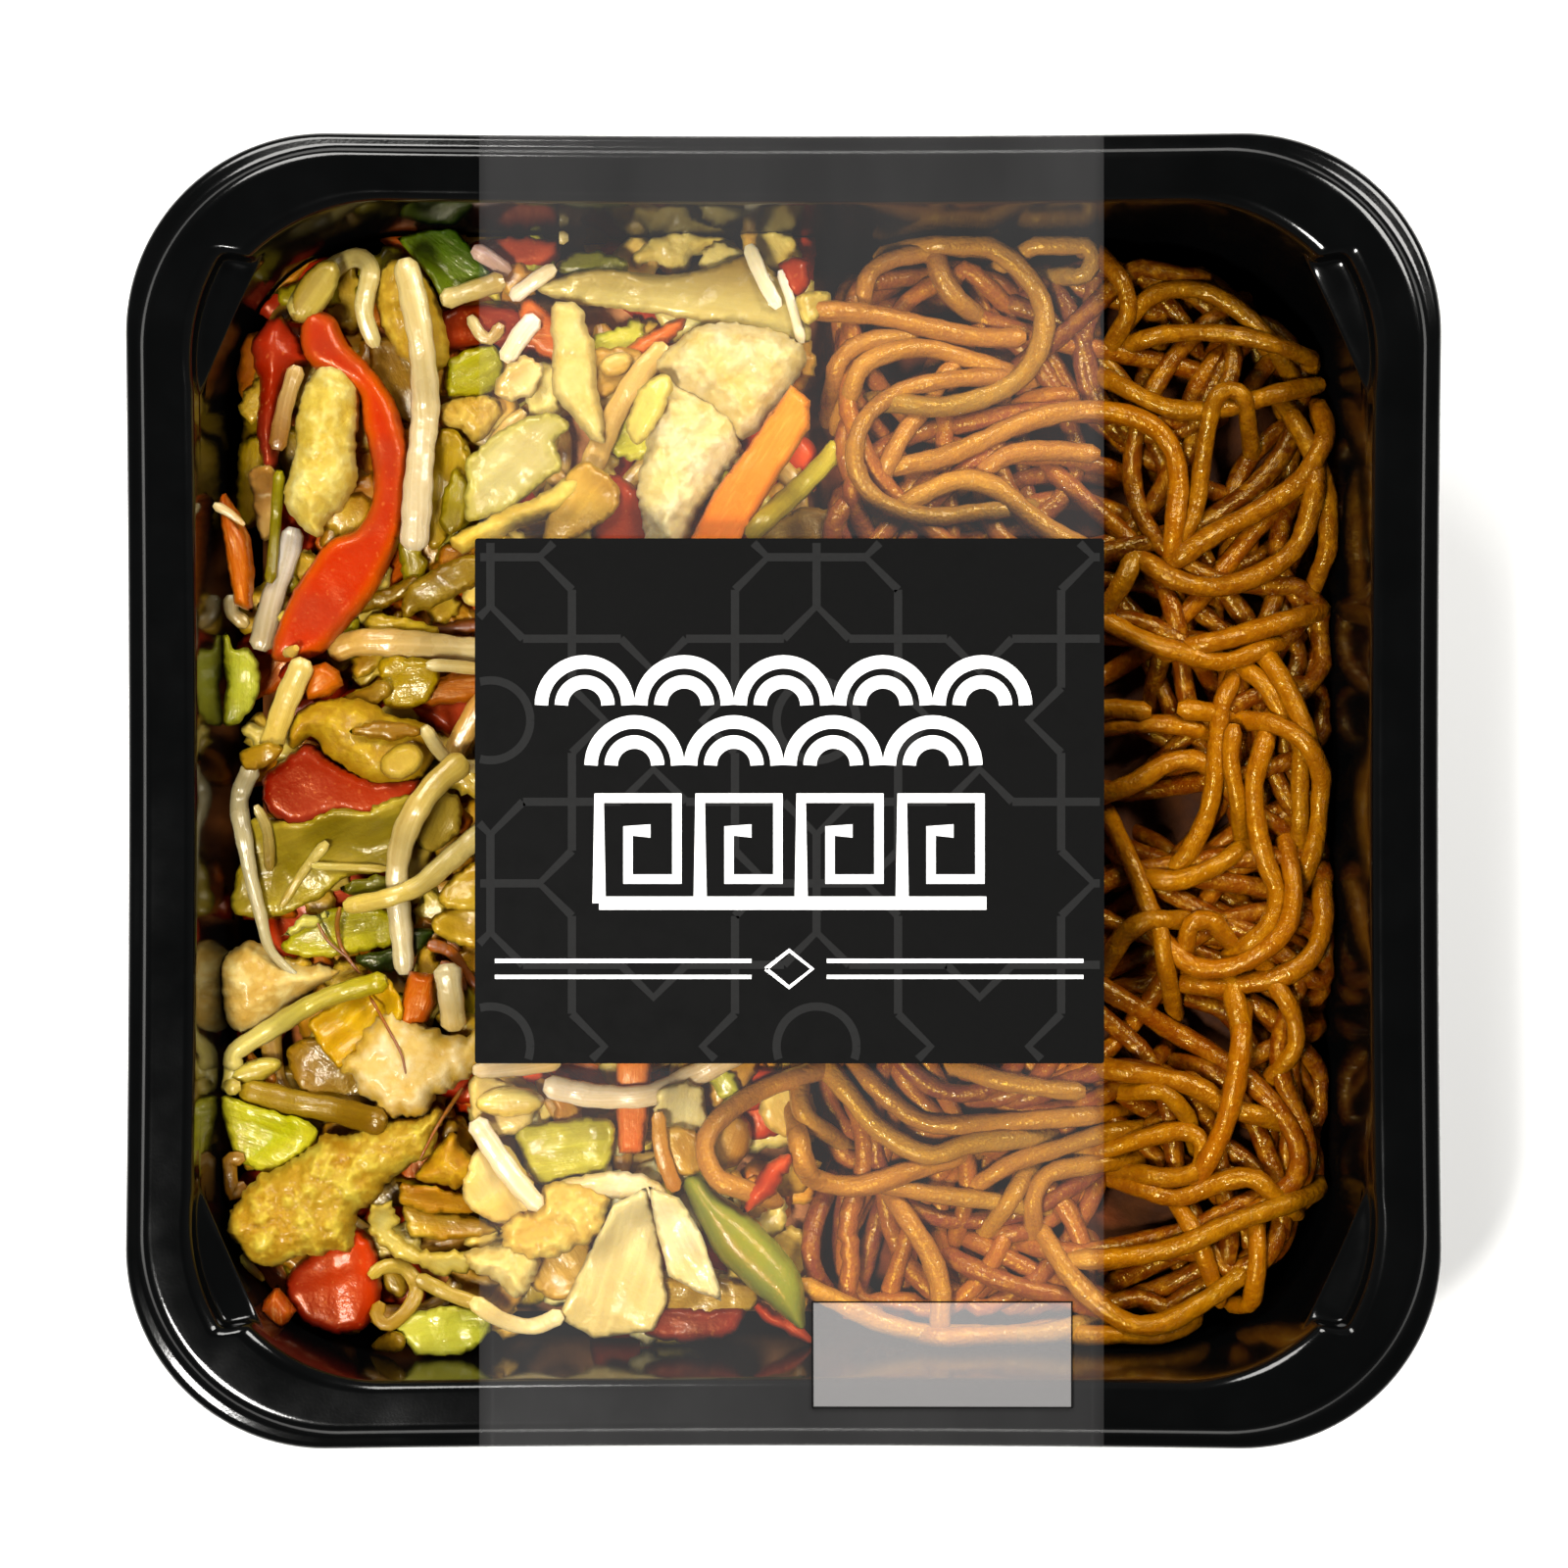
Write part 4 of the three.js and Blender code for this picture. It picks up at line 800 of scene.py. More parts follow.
def lattice_lines(height):
    """Traditional star-and-cross lattice: small crosses where cells meet, points between them."""
    unit, (x0, y0) = LATTICE_UNIT, LATTICE_AT
    print_ = Print(height)

    def put(*places):
        print_.clipped([(x0 + unit * i, y0 - unit * j) for i, j in places], LATTICE_LINE / 2)

    for i in range(-1, 10, 2):
        for j in range(-1, 9, 2):
            put((i - 0.6, j), (i + 0.6, j))
            put((i, j - 0.6), (i, j + 0.6))
    for i in range(-2, 11, 2):
        for j in range(-2, 10, 2):
            if (i + j) % 4 == 0:
                for dx, dy in ((1, 0), (0, 1), (-1, 0), (0, -1)):
                    tip = (i + 0.6 * dx, j + 0.6 * dy)
                    put((i + dx - 0.4 * dy, j + dy - 0.4 * dx), tip, (i + dx + 0.4 * dy, j + dy + 0.4 * dx))
                    if i % 4 == 0:
                        put((i, j), tip)
            elif i % 4 == 0:
                turn = np.radians(np.linspace(0, 360, 49))
                put(*zip(i + 0.49 * np.cos(turn), j + 0.49 * np.sin(turn)))
    return print_


def ornament_lines(height):
    """Generic ornament on the label: rows of scallops and a square fret."""
    print_ = Print(height)
    for y, count, left in SCALLOP_ROWS:
        for n in range(count):
            for radius in SCALLOP_RADII:
                print_.arc(left + SCALLOP_PITCH * n, y, radius, 0, 180)
    for n in range(FRETS):
        x, y = FRET_LEFT + FRET_PITCH * n, FRET_BASE
        print_.line([(x, y), (x, y + 13.1), (x + 9.7, y + 13.1), (x + 9.7, y + 3), (x + 3.6, y + 3),
                     (x + 3.6, y + 9), (x + 6.4, y + 9)])
        print_.line([(x, y), (x + (FRET_PITCH if n < FRETS - 1 else 10.5), y)])
    return print_


def rule_lines(height):
    """Double rules with a diamond between them."""
    print_ = Print(height)
    for left, right in ((-36, -4), (5.4, 37.4)):
        for y in (-21.2, -23.2):
            print_.line([(left, y), (right, y)])
    print_.line([(-2.2, -22.2), (0.7, -19.9), (3.6, -22.2), (0.7, -24.5), (-2.2, -22.2)])
    return print_


# The bed that food is laid on

class Bed:
    """How high the food lies so far, on a square grid over the tray."""
    STEP = 0.5
    REACH = 76.0

    def __init__(self):
        side = np.arange(-self.REACH, self.REACH + self.STEP / 2, self.STEP)
        self.x, self.y = np.meshgrid(side, side, indexing="ij")
        deep = np.where(self.x > 4, 7.5, 4.0)
        self.top = food_height(self.x, self.y) - deep
        for x, y, radius, depth in HOLLOWS:
            self.top -= 0.8 * depth * (1 - smoothstep(np.hypot(self.x - x, self.y - y) / radius))

    def cells(self, points):
        return np.clip(np.rint((points + self.REACH) / self.STEP).astype(int), 0, len(self.top) - 1)

    def at(self, points):
        i, j = self.cells(np.asarray(points)[:, :2]).T
        return self.top[i, j]

    def under_ball(self, points, radius):
        """Cells below a ball at every point, each with the height of the ball over its middle."""
        i, j = self.cells(np.asarray(points)[:, :2]).T
        end = len(self.top) - 1
        reach = int(np.ceil(radius / self.STEP))
        for di in range(-reach, reach + 1):
            for dj in range(-reach, reach + 1):
                away = (di * di + dj * dj) * self.STEP**2
                if away < radius**2:
                    cells = np.clip(i + di, 0, end), np.clip(j + dj, 0, end)
                    yield cells, math.sqrt(radius**2 - away)

    def highest(self, points, radius):
        """Highest place within a radius of every point."""
        return np.max([self.top[cells] for cells, _ in self.under_ball(points, radius)], axis=0)

    def strand_rest(self, line, radius):
        """Lowest height at which a round strand rests on the bed."""
        return np.max([self.top[cells] + ball for cells, ball in self.under_ball(line, radius)], axis=0)

    def press_strand(self, line, radius):
        """The bed takes the top of a strand."""
        fine = smooth_steps(line, self.STEP)
        for cells, ball in self.under_ball(fine, radius):
            np.maximum.at(self.top, cells, fine[:, 2] + ball)

    def press(self, points):
        """The bed takes the tops of a filled form."""
        for cells, _ in self.under_ball(points, 1.45 * self.STEP):
            np.maximum.at(self.top, cells, points[:, 2])


def softened(values, reach):
    """Running mean along a line."""
    padded = np.pad(values, reach, mode="edge")
    return np.convolve(padded, np.ones(2 * reach + 1) / (2 * reach + 1), mode="valid")


# Forms laid on the bed

def edge_distance(points, loop):
    """Whether points lie inside a closed line, and how far from it."""
    a, b = loop, np.roll(loop, -1, 0)
    away = np.full(len(points), 1e9)
    inside = np.zeros(len(points), bool)
    for (ax, ay), (bx, by) in zip(a, b):
        dx, dy = bx - ax, by - ay
        t = ((points[:, 0] - ax) * dx + (points[:, 1] - ay) * dy) / (dx * dx + dy * dy + 1e-12)
        t = np.clip(t, 0, 1)
        away = np.minimum(away, np.hypot(points[:, 0] - ax - t * dx, points[:, 1] - ay - t * dy))
        crosses = (ay > points[:, 1]) != (by > points[:, 1])
        level = ax + (points[:, 1] - ay) * dx / (dy if abs(dy) > 1e-12 else 1e-12)
        inside ^= crosses & (points[:, 0] < level)
    return inside, away


def filled(loop, spacing):
    """Points and triangles inside a closed outline, with each point's distance from the edge."""
    low, high = loop.min(0), loop.max(0)
    rows = []
    for n, y in enumerate(np.arange(low[1], high[1], spacing * 0.866)):
        x = np.arange(low[0] + (n % 2) * spacing / 2, high[0], spacing)
        rows.append(np.c_[x, np.full(len(x), y)])
    grid = np.vstack(rows)
    inside, away = edge_distance(grid, loop)
    points = np.vstack([loop, grid[inside & (away > 0.5 * spacing)]])
    made = delaunay_2d_cdt([Vector(p) for p in points], [], [list(range(len(loop)))], 1, 1e-5)
    flat = np.array([tuple(p) for p in made[0]])
    triangles = [tuple(face) for face in made[2]]
    _, away = edge_distance(flat, loop)
    return flat, triangles, np.where(away < 1e-4, 0, away)


def evened(values, triangles, rounds):
    """Heights made even over neighbouring points."""
    corners = np.array(triangles)
    a = np.concatenate([corners[:, 0], corners[:, 1], corners[:, 2]])
    b = np.concatenate([corners[:, 1], corners[:, 2], corners[:, 0]])
    count = np.bincount(a, minlength=len(values)) + np.bincount(b, minlength=len(values))
    for _ in range(rounds):
        total = (np.bincount(a, values[b], minlength=len(values))
                 + np.bincount(b, values[a], minlength=len(values)))
        values = 0.5 * values + 0.5 * total / np.maximum(count, 1)
    return values


def ragged(outline, step, amount, seed, crisp):
    """An outline as a smooth loop, or a crisp one with cut corners, with a slightly torn edge."""
    corners = np.reshape(outline, (-1, 2)) * SPREAD
    if crisp:
        loop = smooth_steps(np.vstack([corners, corners[:1]]), step)[:-1]
    else:
        loop = smooth_line(corners, step, closed=True)
    ahead = np.roll(loop, -1, 0) - np.roll(loop, 1, 0)
    out = np.c_[ahead[:, 1], -ahead[:, 0]] / np.linalg.norm(ahead, axis=1)[:, None]
    shift = [noise.fractal(Vector((x * 0.7, y * 0.7, seed)), 0.6, 2.0, 4) for x, y in loop]
    return loop + out * (amount * np.array(shift))[:, None]


def placed(x, y, turn, along, across):
    """Places along and across a form, turned and set round its middle."""
    return np.c_[x + along * math.cos(turn) - across * math.sin(turn),
                 y + along * math.sin(turn) + across * math.cos(turn)]


def long_way(points):
    """Places along and across the longer way of a form."""
    middle = points.mean(0)
    _, _, ways = np.linalg.svd(points - middle, full_matrices=False)
    return (points - middle) @ ways.T


def closed_form(flat, triangles, away, top, bottom):
    """A closed shell: the top and bottom share the outline."""
    inner = away > 0
    number = len(flat)
    below = np.arange(number)
    below[inner] = number + np.arange(inner.sum())
    points = np.vstack([np.c_[flat, top], np.c_[flat[inner], bottom[inner]]])
    faces = list(triangles) + [(below[a], below[c], below[b]) for a, b, c in triangles]
    return points, faces, inner


def facing_up(flat, triangles):
    """Triangles turned so that they face upwards."""
    made = []
    for a, b, c in triangles:
        (ax, ay), (bx, by), (cx, cy) = flat[a], flat[b], flat[c]
        up = (bx - ax) * (cy - ay) - (by - ay) * (cx - ax) > 0
        made.append((a, b, c) if up else (a, c, b))
    return made


class Meal:
    """The food on its bed: leaves, chunks and strands laid one on the other.

    Outlines and paths are x, y, x, y and so on, seen from above. A piece fades from one tint to another.
    """

    def __init__(self):
        self.bed = Bed()
        self.forms = {}
        self.lines = {}
        self.seed = 0

    def form(self, kind):
        return self.forms.setdefault(kind, Gathering())

    def strands(self, kind):
        return self.lines.setdefault(kind, Strands())

    def tints(self, kind, first, second, fade, flat, away, ways):
        if fade == "edge":
            share = 1 - smoothstep(away / 2.2)
        elif fade == "patch":
            share = smoothstep(0.5 + 0.8 * lumps(flat[:, 0] / 2.6, flat[:, 1] / 2.6, 0, self.seed))
        else:
            way = ways[:, {"long": 0, "across": 1}[fade]]
            share = smoothstep((way - way.min()) / (np.ptp(way) + 1e-6))
        mixed = colour(*first) * (1 - share)[:, None] + colour(*second) * share[:, None]
        return mixed * self.whiteness_and_painted_haze(kind, flat)

    def whiteness_and_painted_haze(self, kind, places):
        """Sprouts and cabbage are whiter than the rest; vegetables below the film get the film's milky haze
        painted into their tints, as painted light.
        """
        painted_film_haze = kind != "noodle" and BAND_LEFT < np.mean(places[:, 0]) < VEGETABLES_END
        return np.array(WHITER.get(kind, (1, 1, 1))) * (VEGETABLES_PAINTED_FILM_HAZE if painted_film_haze else 1)

    def leaf(self, kind, first, second, outline, thick=0.8, wave=0.6, fade="patch", lift=0.0,
             level=LOWEST_TOP, torn=0.3, spacing=0.6, crisp=False, pleat=0.0):
        """A thin leaf draped on what lies below it."""
        self.seed += 1
        flat, triangles, away = filled(ragged(outline, 0.6, torn, self.seed, crisp), spacing)
        triangles = facing_up(flat, triangles)
        ways = long_way(flat)
        rest = self.bed.highest(flat, 1.05)
        draped = evened(np.maximum(0.55 * rest + 0.45 * np.percentile(rest, 75), level), triangles, 12)
        rolls = lumps(ways[:, 0] / 5, ways[:, 1] / 3.4, 0, self.seed)
        ruffle = lumps(flat[:, 0] / 1.7, flat[:, 1] / 1.5, 0, self.seed + 3) * (1 - smoothstep(away / 3.5))
        crinkle = [noise.fractal(Vector((x * 0.4, y * 0.4, self.seed)), 0.7, 2.0, 3) for x, y in flat]
        folds = np.sin(2.1 * ways[:, 1] + 1.2 * rolls + self.seed)
        height = draped + wave * (0.8 + rolls + 0.6 * ruffle + 0.7 * np.array(crinkle))
        height = height + pleat * folds + lift
        height = evened(np.maximum(height, self.bed.at(flat) + 0.1), triangles, 2)
        height = np.minimum(height, FOOD_CEILING - thick)
        edge = np.sqrt(np.clip(1 - (1 - np.clip(away / (0.7 * thick), 0, 1)) ** 2, 0, 1))
        top, bottom = height + 0.5 * thick * edge, height - 0.5 * thick * edge
        self.lay(kind, flat, triangles, away, top, bottom,
                 self.tints(kind, first, second, fade, flat, away, ways), ways)

    def chunk(self, kind, first, second, outline, thick=7.0, node=None, edge=None, crag=0.0, sink=0.35,
              fade="patch", torn=0.3, spacing=0.55, lumpy=0.14, square=2.2, sag=0.0, crisp=False):
        """A thick piece; its height comes from its solid where it has one."""
        self.seed += 1
        loop = ragged(outline, min(0.5, spacing), torn, self.seed, crisp)
        flat, triangles, away = filled(loop, spacing)
        triangles = facing_up(flat, triangles)
        ways = long_way(flat)
        if node:
            low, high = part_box(node)
            low, high = low.z / MM, high.z / MM
            raised = max(LOWEST_TOP - high, 0)
            low, high = low + raised, high + raised
        else:
            low = np.percentile(self.bed.at(flat), 60) - sink * thick
            high = low + thick
        high = min(high - sag, FOOD_CEILING)
        middle = low + 0.42 * (high - low)
        edge = edge or 0.55 * (high - low)
        swell = (1 - (1 - np.clip(away / edge, 0, 1)) ** square) ** (1 / square)
        uneven = 1 + lumpy * lumps(ways[:, 0] / 2.3, ways[:, 1] / 1.9, 0, self.seed)
        top = middle + (high - middle) * swell * np.minimum(uneven, 1.05)
        if crag:
            rough = [0.8 * noise.fractal(Vector((x * 0.45, y * 0.45, z * 0.45 + self.seed)), 0.7, 2.0, 5)
                     + 0.5 * (noise.turbulence(Vector((x * 0.6, y * 0.6, self.seed)), 3, True) - 0.6)
                     for (x, y), z in zip(flat, top)]
            fine = [noise.fractal(Vector((x * 1.3, y * 1.3, self.seed)), 0.8, 2.0, 3) for x, y in flat]
            top = top + crag * swell * (np.array(rough) + 0.3 * np.array(fine))
        bottom = middle - (middle - low) * swell
        tints = self.tints(kind, first, second, fade, flat, away, ways)
        if crag:
            # Partly painted light: with crags the first tint lies on the bumps and the second in the
            # hollows; partly the crust's own golden crevices, partly a painted highlight on the bumps and
            # painted shade in the hollows.
            crevice_gold_and_shade = smoothstep(0.55 - 1.1 * np.array(rough))[:, None]
            tints = 0.35 * tints + 0.65 * (colour(*first) * (1 - crevice_gold_and_shade) + colour(*second) * crevice_gold_and_shade)
        self.lay(kind, flat, triangles, away, np.minimum(top, FOOD_CEILING + 0.4), bottom, tints, ways)

    def lay(self, kind, flat, triangles, away, top, bottom, tints, ways):
        points, faces, inner = closed_form(flat, triangles, away, top, bottom)
        points[:, 0], points[:, 1] = keep_in_tray(points[:, 0], points[:, 1], points[:, 2], 0.4)
        tints = np.vstack([tints, tints[inner]])
        grains = np.c_[ways, np.full(len(ways), self.seed * 3.7)]
        self.form(kind).add(points, faces, tints, np.vstack([grains, grains[inner]]))
        self.bed.press(points[:len(flat)])

    def bean(self, kind, first, second, x, y, length, width, heading, thick=2.6):
        """A bean sprout's head: two halves side by side."""
        turn = math.radians(heading)
        angle = np.linspace(0, 2 * math.pi, 14, endpoint=False)
        a, b = 0.5 * length * np.cos(angle), 0.5 * width * np.sin(angle)
        self.chunk(kind, first, second, placed(x, y, turn, a, b), thick=thick, sink=0.2, fade="across",
                   torn=0.1, spacing=0.45, lumpy=0.05)

    def strand(self, kind, first, second, path, width, end_width=None, step=0.8, sink=0.3, lift=0.0,
               stiff=4, dive=(0, 0), level=26.5, painted_film_haze=None):
        """A round strand that rests on what it crosses."""
        self.seed += 1
        line = smooth_line(np.reshape(path, (-1, 2)) * SPREAD, step)
        place = np.linspace(0, 1, len(line))
        away = np.arange(len(line)) * step
        end_width = width if end_width is None else end_width
        thick = 0.5 * (width + (end_width - width) * place)
        thick = thick * (1 + 0.05 * np.sin(away * 0.5 + self.seed)
                         + 0.04 * np.sin(away * 1.9 + 2 * self.seed))
        tip = np.clip(np.minimum(place, 1 - place) * (len(line) - 1) * step / (0.35 * width) + 0.15, 0, 1)
        thick = thick * np.sqrt(np.clip(1 - (1 - tip) ** 2, 0.02, 1))
        radius = 0.5 * max(width, end_width)
        rest = np.maximum(self.bed.strand_rest(line, radius) - sink * radius, level)
        height = np.maximum(softened(rest, stiff), rest - 0.3 * radius) + lift
        height = softened(height, 2)
        for drop, distance in ((dive[0], away), (dive[1], away[::-1])):
            height = height - drop * np.clip(1 - distance / 8, 0, 1) ** 1.4
        height = np.minimum(height, FOOD_CEILING - radius)
        x, y = keep_in_tray(line[:, 0], line[:, 1], height - radius, radius + 0.3)
        line = np.c_[x, y, height]
        share = smoothstep(place)[:, None]
        tints = (colour(*first) * (1 - share) + colour(*second) * share) * self.whiteness_and_painted_haze(kind, line)
        # Painted light: below the film, noodle tints are raised to stand for the film's milky haze.
        if painted_film_haze:
            red, green, blue = painted_film_haze
            tints = np.where(line[:, :1] < BAND_RIGHT, tints * (red, green, 1) + (0, 0, blue), tints)
        self.strands(kind).add(line, thick, tints, self.seed)
        self.bed.press_strand(line, radius * 0.95)
        return line


# Vegetables and chicken

def scrap(meal, pieces, n, longest, widest, level, torn):
    """A torn scrap of leaf or pepper, somewhere in the heap."""
    kind, first, second = pieces[n % len(pieces)]
    x, y = DICE.uniform(-67, 2), DICE.uniform(-68, 69)
    # Painted light: scraps below the film are painted lighter to stand for the film's milky haze.
    paler = SCRAPS_PAINTED_FILM_HAZE if x > BAND_LEFT else 0
    first, second = np.minimum(np.array([first, second]) + paler, 250)
    length, width = DICE.uniform(0.5, 1) * longest, DICE.uniform(0.55, 1) * widest
    turn = DICE.uniform(0, math.pi)
    angle = np.linspace(0, 2 * math.pi, 9, endpoint=False)
    reach = DICE.uniform(0.7, 1.15, 9)
    a, b = 0.5 * length * reach * np.cos(angle), 0.5 * width * reach * np.sin(angle)
    outline = np.clip(placed(x, y, turn, a, b), (-69, -70), (4, 71))
    meal.leaf(kind, first, second, outline, wave=0.5, spacing=0.12 * widest, lift=-0.5, level=level,
              torn=torn)


def hidden_vegetables(meal):
    """Scraps of leaf, pepper and sprout that fill the heap between and below the pieces on top."""
    for n in range(110):
        scrap(meal, LOWER_SCRAPS, n, 16, 9, 19.0, 0.3)
    for n in range(150):
        scrap(meal, LOWER_SCRAPS, n, 15, 9, 23.0, 0.3)
    for n in range(46):
        x, y, turn = DICE.uniform(-62, -2), DICE.uniform(-62, 62), DICE.uniform(0, 2 * math.pi)
        bend = DICE.uniform(-0.5, 0.5)
        k = np.arange(4)
        path = np.c_[x + 7 * k * np.cos(turn + bend * k), y + 7 * k * np.sin(turn + bend * k)]
        meal.strand("sprout", (216, 180, 104), (186, 136, 60), np.clip(path, (-66, -66), (2, 66)),
                    DICE.uniform(2.0, 2.9), step=1.4, sink=0.9, level=0)
    for n in range(230):
        scrap(meal, UPPER_SCRAPS, n, 11, 6, 24.5, 0.7)


def back_left_vegetables(leaf, chunk, bean, strand):
    """Corner behind the band's left edge: peppers, sprouts and egg-coated chicken."""
    leaf("onion", (120, 84, 26), (160, 124, 52), [-52, 56, -47, 56, -44, 50, -46, 46, -50, 48])
    leaf("leek", (190, 190, 20), (160, 158, 24), [
        -42.3, 53.6, -40.5, 55, -36.6, 56, -35, 53, -37, 50, -40.5, 49.5, -42.5, 50.5])
    leaf("onion", (186, 160, 46), (150, 118, 26), [-43.8, 44, -41, 45, -39, 40, -41, 34, -44, 30, -45, 36])
    leaf("leek", (160, 148, 30), (120, 104, 18), [-41.5, 40, -39.6, 39, -39, 35, -41.5, 32, -43, 34])
    chunk("red_pepper", (132, 40, 18), (96, 24, 12), [
        -43.5, 60, -38, 61.5, -33, 60.5, -29.5, 58, -30, 54.5, -35, 55.5, -40, 56, -43, 55], thick=3.2)
    chunk("red_pepper", (206, 92, 72), (150, 52, 36), [
        -39.6, 69, -34, 70.2, -28.4, 69.4, -28.8, 66.4, -33, 65.4, -39.6, 65], node="red_pepper_1",
        edge=1.6)
    chunk("red_pepper", (176, 38, 12), (104, 20, 10), [
        -66.8, 55.5, -65.2, 58.2, -63.1, 59.5, -60.9, 56.8, -59.3, 53.6, -61.4, 52.3, -62.7, 47.7,
        -63.6, 40.5, -65, 40.2, -66.1, 45.5, -65.7, 50.5], node="red_pepper_5", fade="long")
    strand("sprout", (208, 176, 128), (150, 104, 56), [-60.6, 53, -62.2, 48, -63.2, 42.5], 2.3)
    leaf("cabbage", (206, 166, 122), (176, 128, 88), [
        -67, 39.8, -64.1, 40.5, -63.2, 37.3, -64.3, 32, -65.9, 32.4], lift=0.4)
    chunk("carrot", (176, 78, 14), (206, 106, 22), [
        -70.7, 35.9, -70, 37.7, -68.2, 35, -66.6, 31.4, -66.1, 27.3, -66.4, 22.3, -68.6, 23.2, -69.5, 28.2],
        node="carrot_1", fade="long", **CARROT_CUT)
    strand("sprout", (226, 204, 160), (190, 150, 90), [-71, 35.6, -69, 34.6, -67, 33], 1.4, 0.8)
    strand("leek", (150, 148, 26), (126, 118, 16), [-63, 40, -63.6, 35, -64.1, 28, -64.4, 26], 1.5)
    chunk("red_pepper", (206, 50, 8), (236, 108, 26), [
        -54.5, 55.9, -51.8, 53.2, -49.1, 49.5, -47.7, 45.9, -46.8, 42.3, -47, 37.3, -47.7, 32.3,
        -50.5, 25.9, -52.3, 23.2, -55, 20, -57.7, 17.3, -61, 16.2, -64, 16.6, -63.4, 20.4, -61.4, 25,
        -59.5, 28, -56.8, 31.4, -53.6, 32.7, -51.8, 35.5, -51.4, 38.6, -51.8, 42.3, -52.7, 45.9,
        -53.2, 49.5, -56, 51.5, -59.5, 53.5, -60.6, 57, -59.5, 60, -56.5, 59.5], node="red_pepper_6",
        torn=0.1, edge=2.2, fade="edge", lumpy=0.05, square=2.8)
    chunk("chicken", (240, 212, 116), (206, 166, 60), [
        -50.2, 65.9, -47.7, 66.4, -44.1, 63.2, -42.3, 57.7, -42, 54.1, -43.6, 52.3, -46.8, 53.2,
        -49.1, 55.9, -50.7, 59.5, -51.1, 63.2], node="chicken_1", crag=0.8)
    chunk("chicken", (251, 245, 192), (235, 209, 106), [
        -57.7, 53.4, -55, 53.2, -53.4, 51.4, -53, 49.1, -53.3, 45.9, -53.6, 42.3, -53.4, 38.6, -55, 35.5,
        -56.8, 34.1, -58, 31.8, -60, 32.7, -61.8, 34.5, -62.8, 37.3, -61.8, 40, -61.1, 43.6, -61.1, 46.8,
        -60, 50.5], node="chicken_2", crag=0.6, spacing=0.45)
    chunk("chicken", (234, 208, 136), (206, 166, 84), [
        -43.2, 48.2, -40.5, 49.5, -37.3, 49.8, -35.5, 48.6, -35.9, 46.4, -38.6, 43.6, -40.5, 45,
        -43.2, 45.9], thick=4, crag=0.9)
    strand("sprout", (206, 188, 120), (232, 216, 160), [
        -61, 59.3, -59.5, 62.8, -56, 66, -53.2, 66.8, -51.6, 64.8, -52.4, 60, -51, 55.5], 3, 2.2)
    bean("sprout_head", (172, 146, 66), (206, 186, 110), -58.6, 62.4, 9, 4.6, 57)
    leaf("leek", (64, 108, 18), (126, 156, 44), [
        -48.6, 69.4, -45, 70.4, -41.7, 71, -39, 68, -36.4, 64.6, -39.6, 63, -42.8, 61.4, -44.2, 64.2],
        lift=1.2, fade="across", wave=0.15, torn=0.05, crisp=True, spacing=0.45)
    strand("sprout", (206, 172, 150), (176, 140, 120), [-39, 68, -36.6, 66.6, -34.4, 65], 2.2)
    strand("sprout", (222, 204, 150), (206, 176, 112), [-42.7, 61.2, -39, 62.6, -35, 64], 2.7)
    strand("sprout", (226, 206, 156), (196, 158, 100), [
        -39.4, 59.6, -38, 57.2, -36.6, 56.8, -35.4, 58.6], 1.7)
    strand("sprout", (236, 216, 160), (236, 220, 186), [
        -47.2, 66.2, -46, 61, -45, 55, -44.8, 48, -45.4, 40, -45.8, 34, -46.2, 30], 3.3, 3.8, lift=0.3)


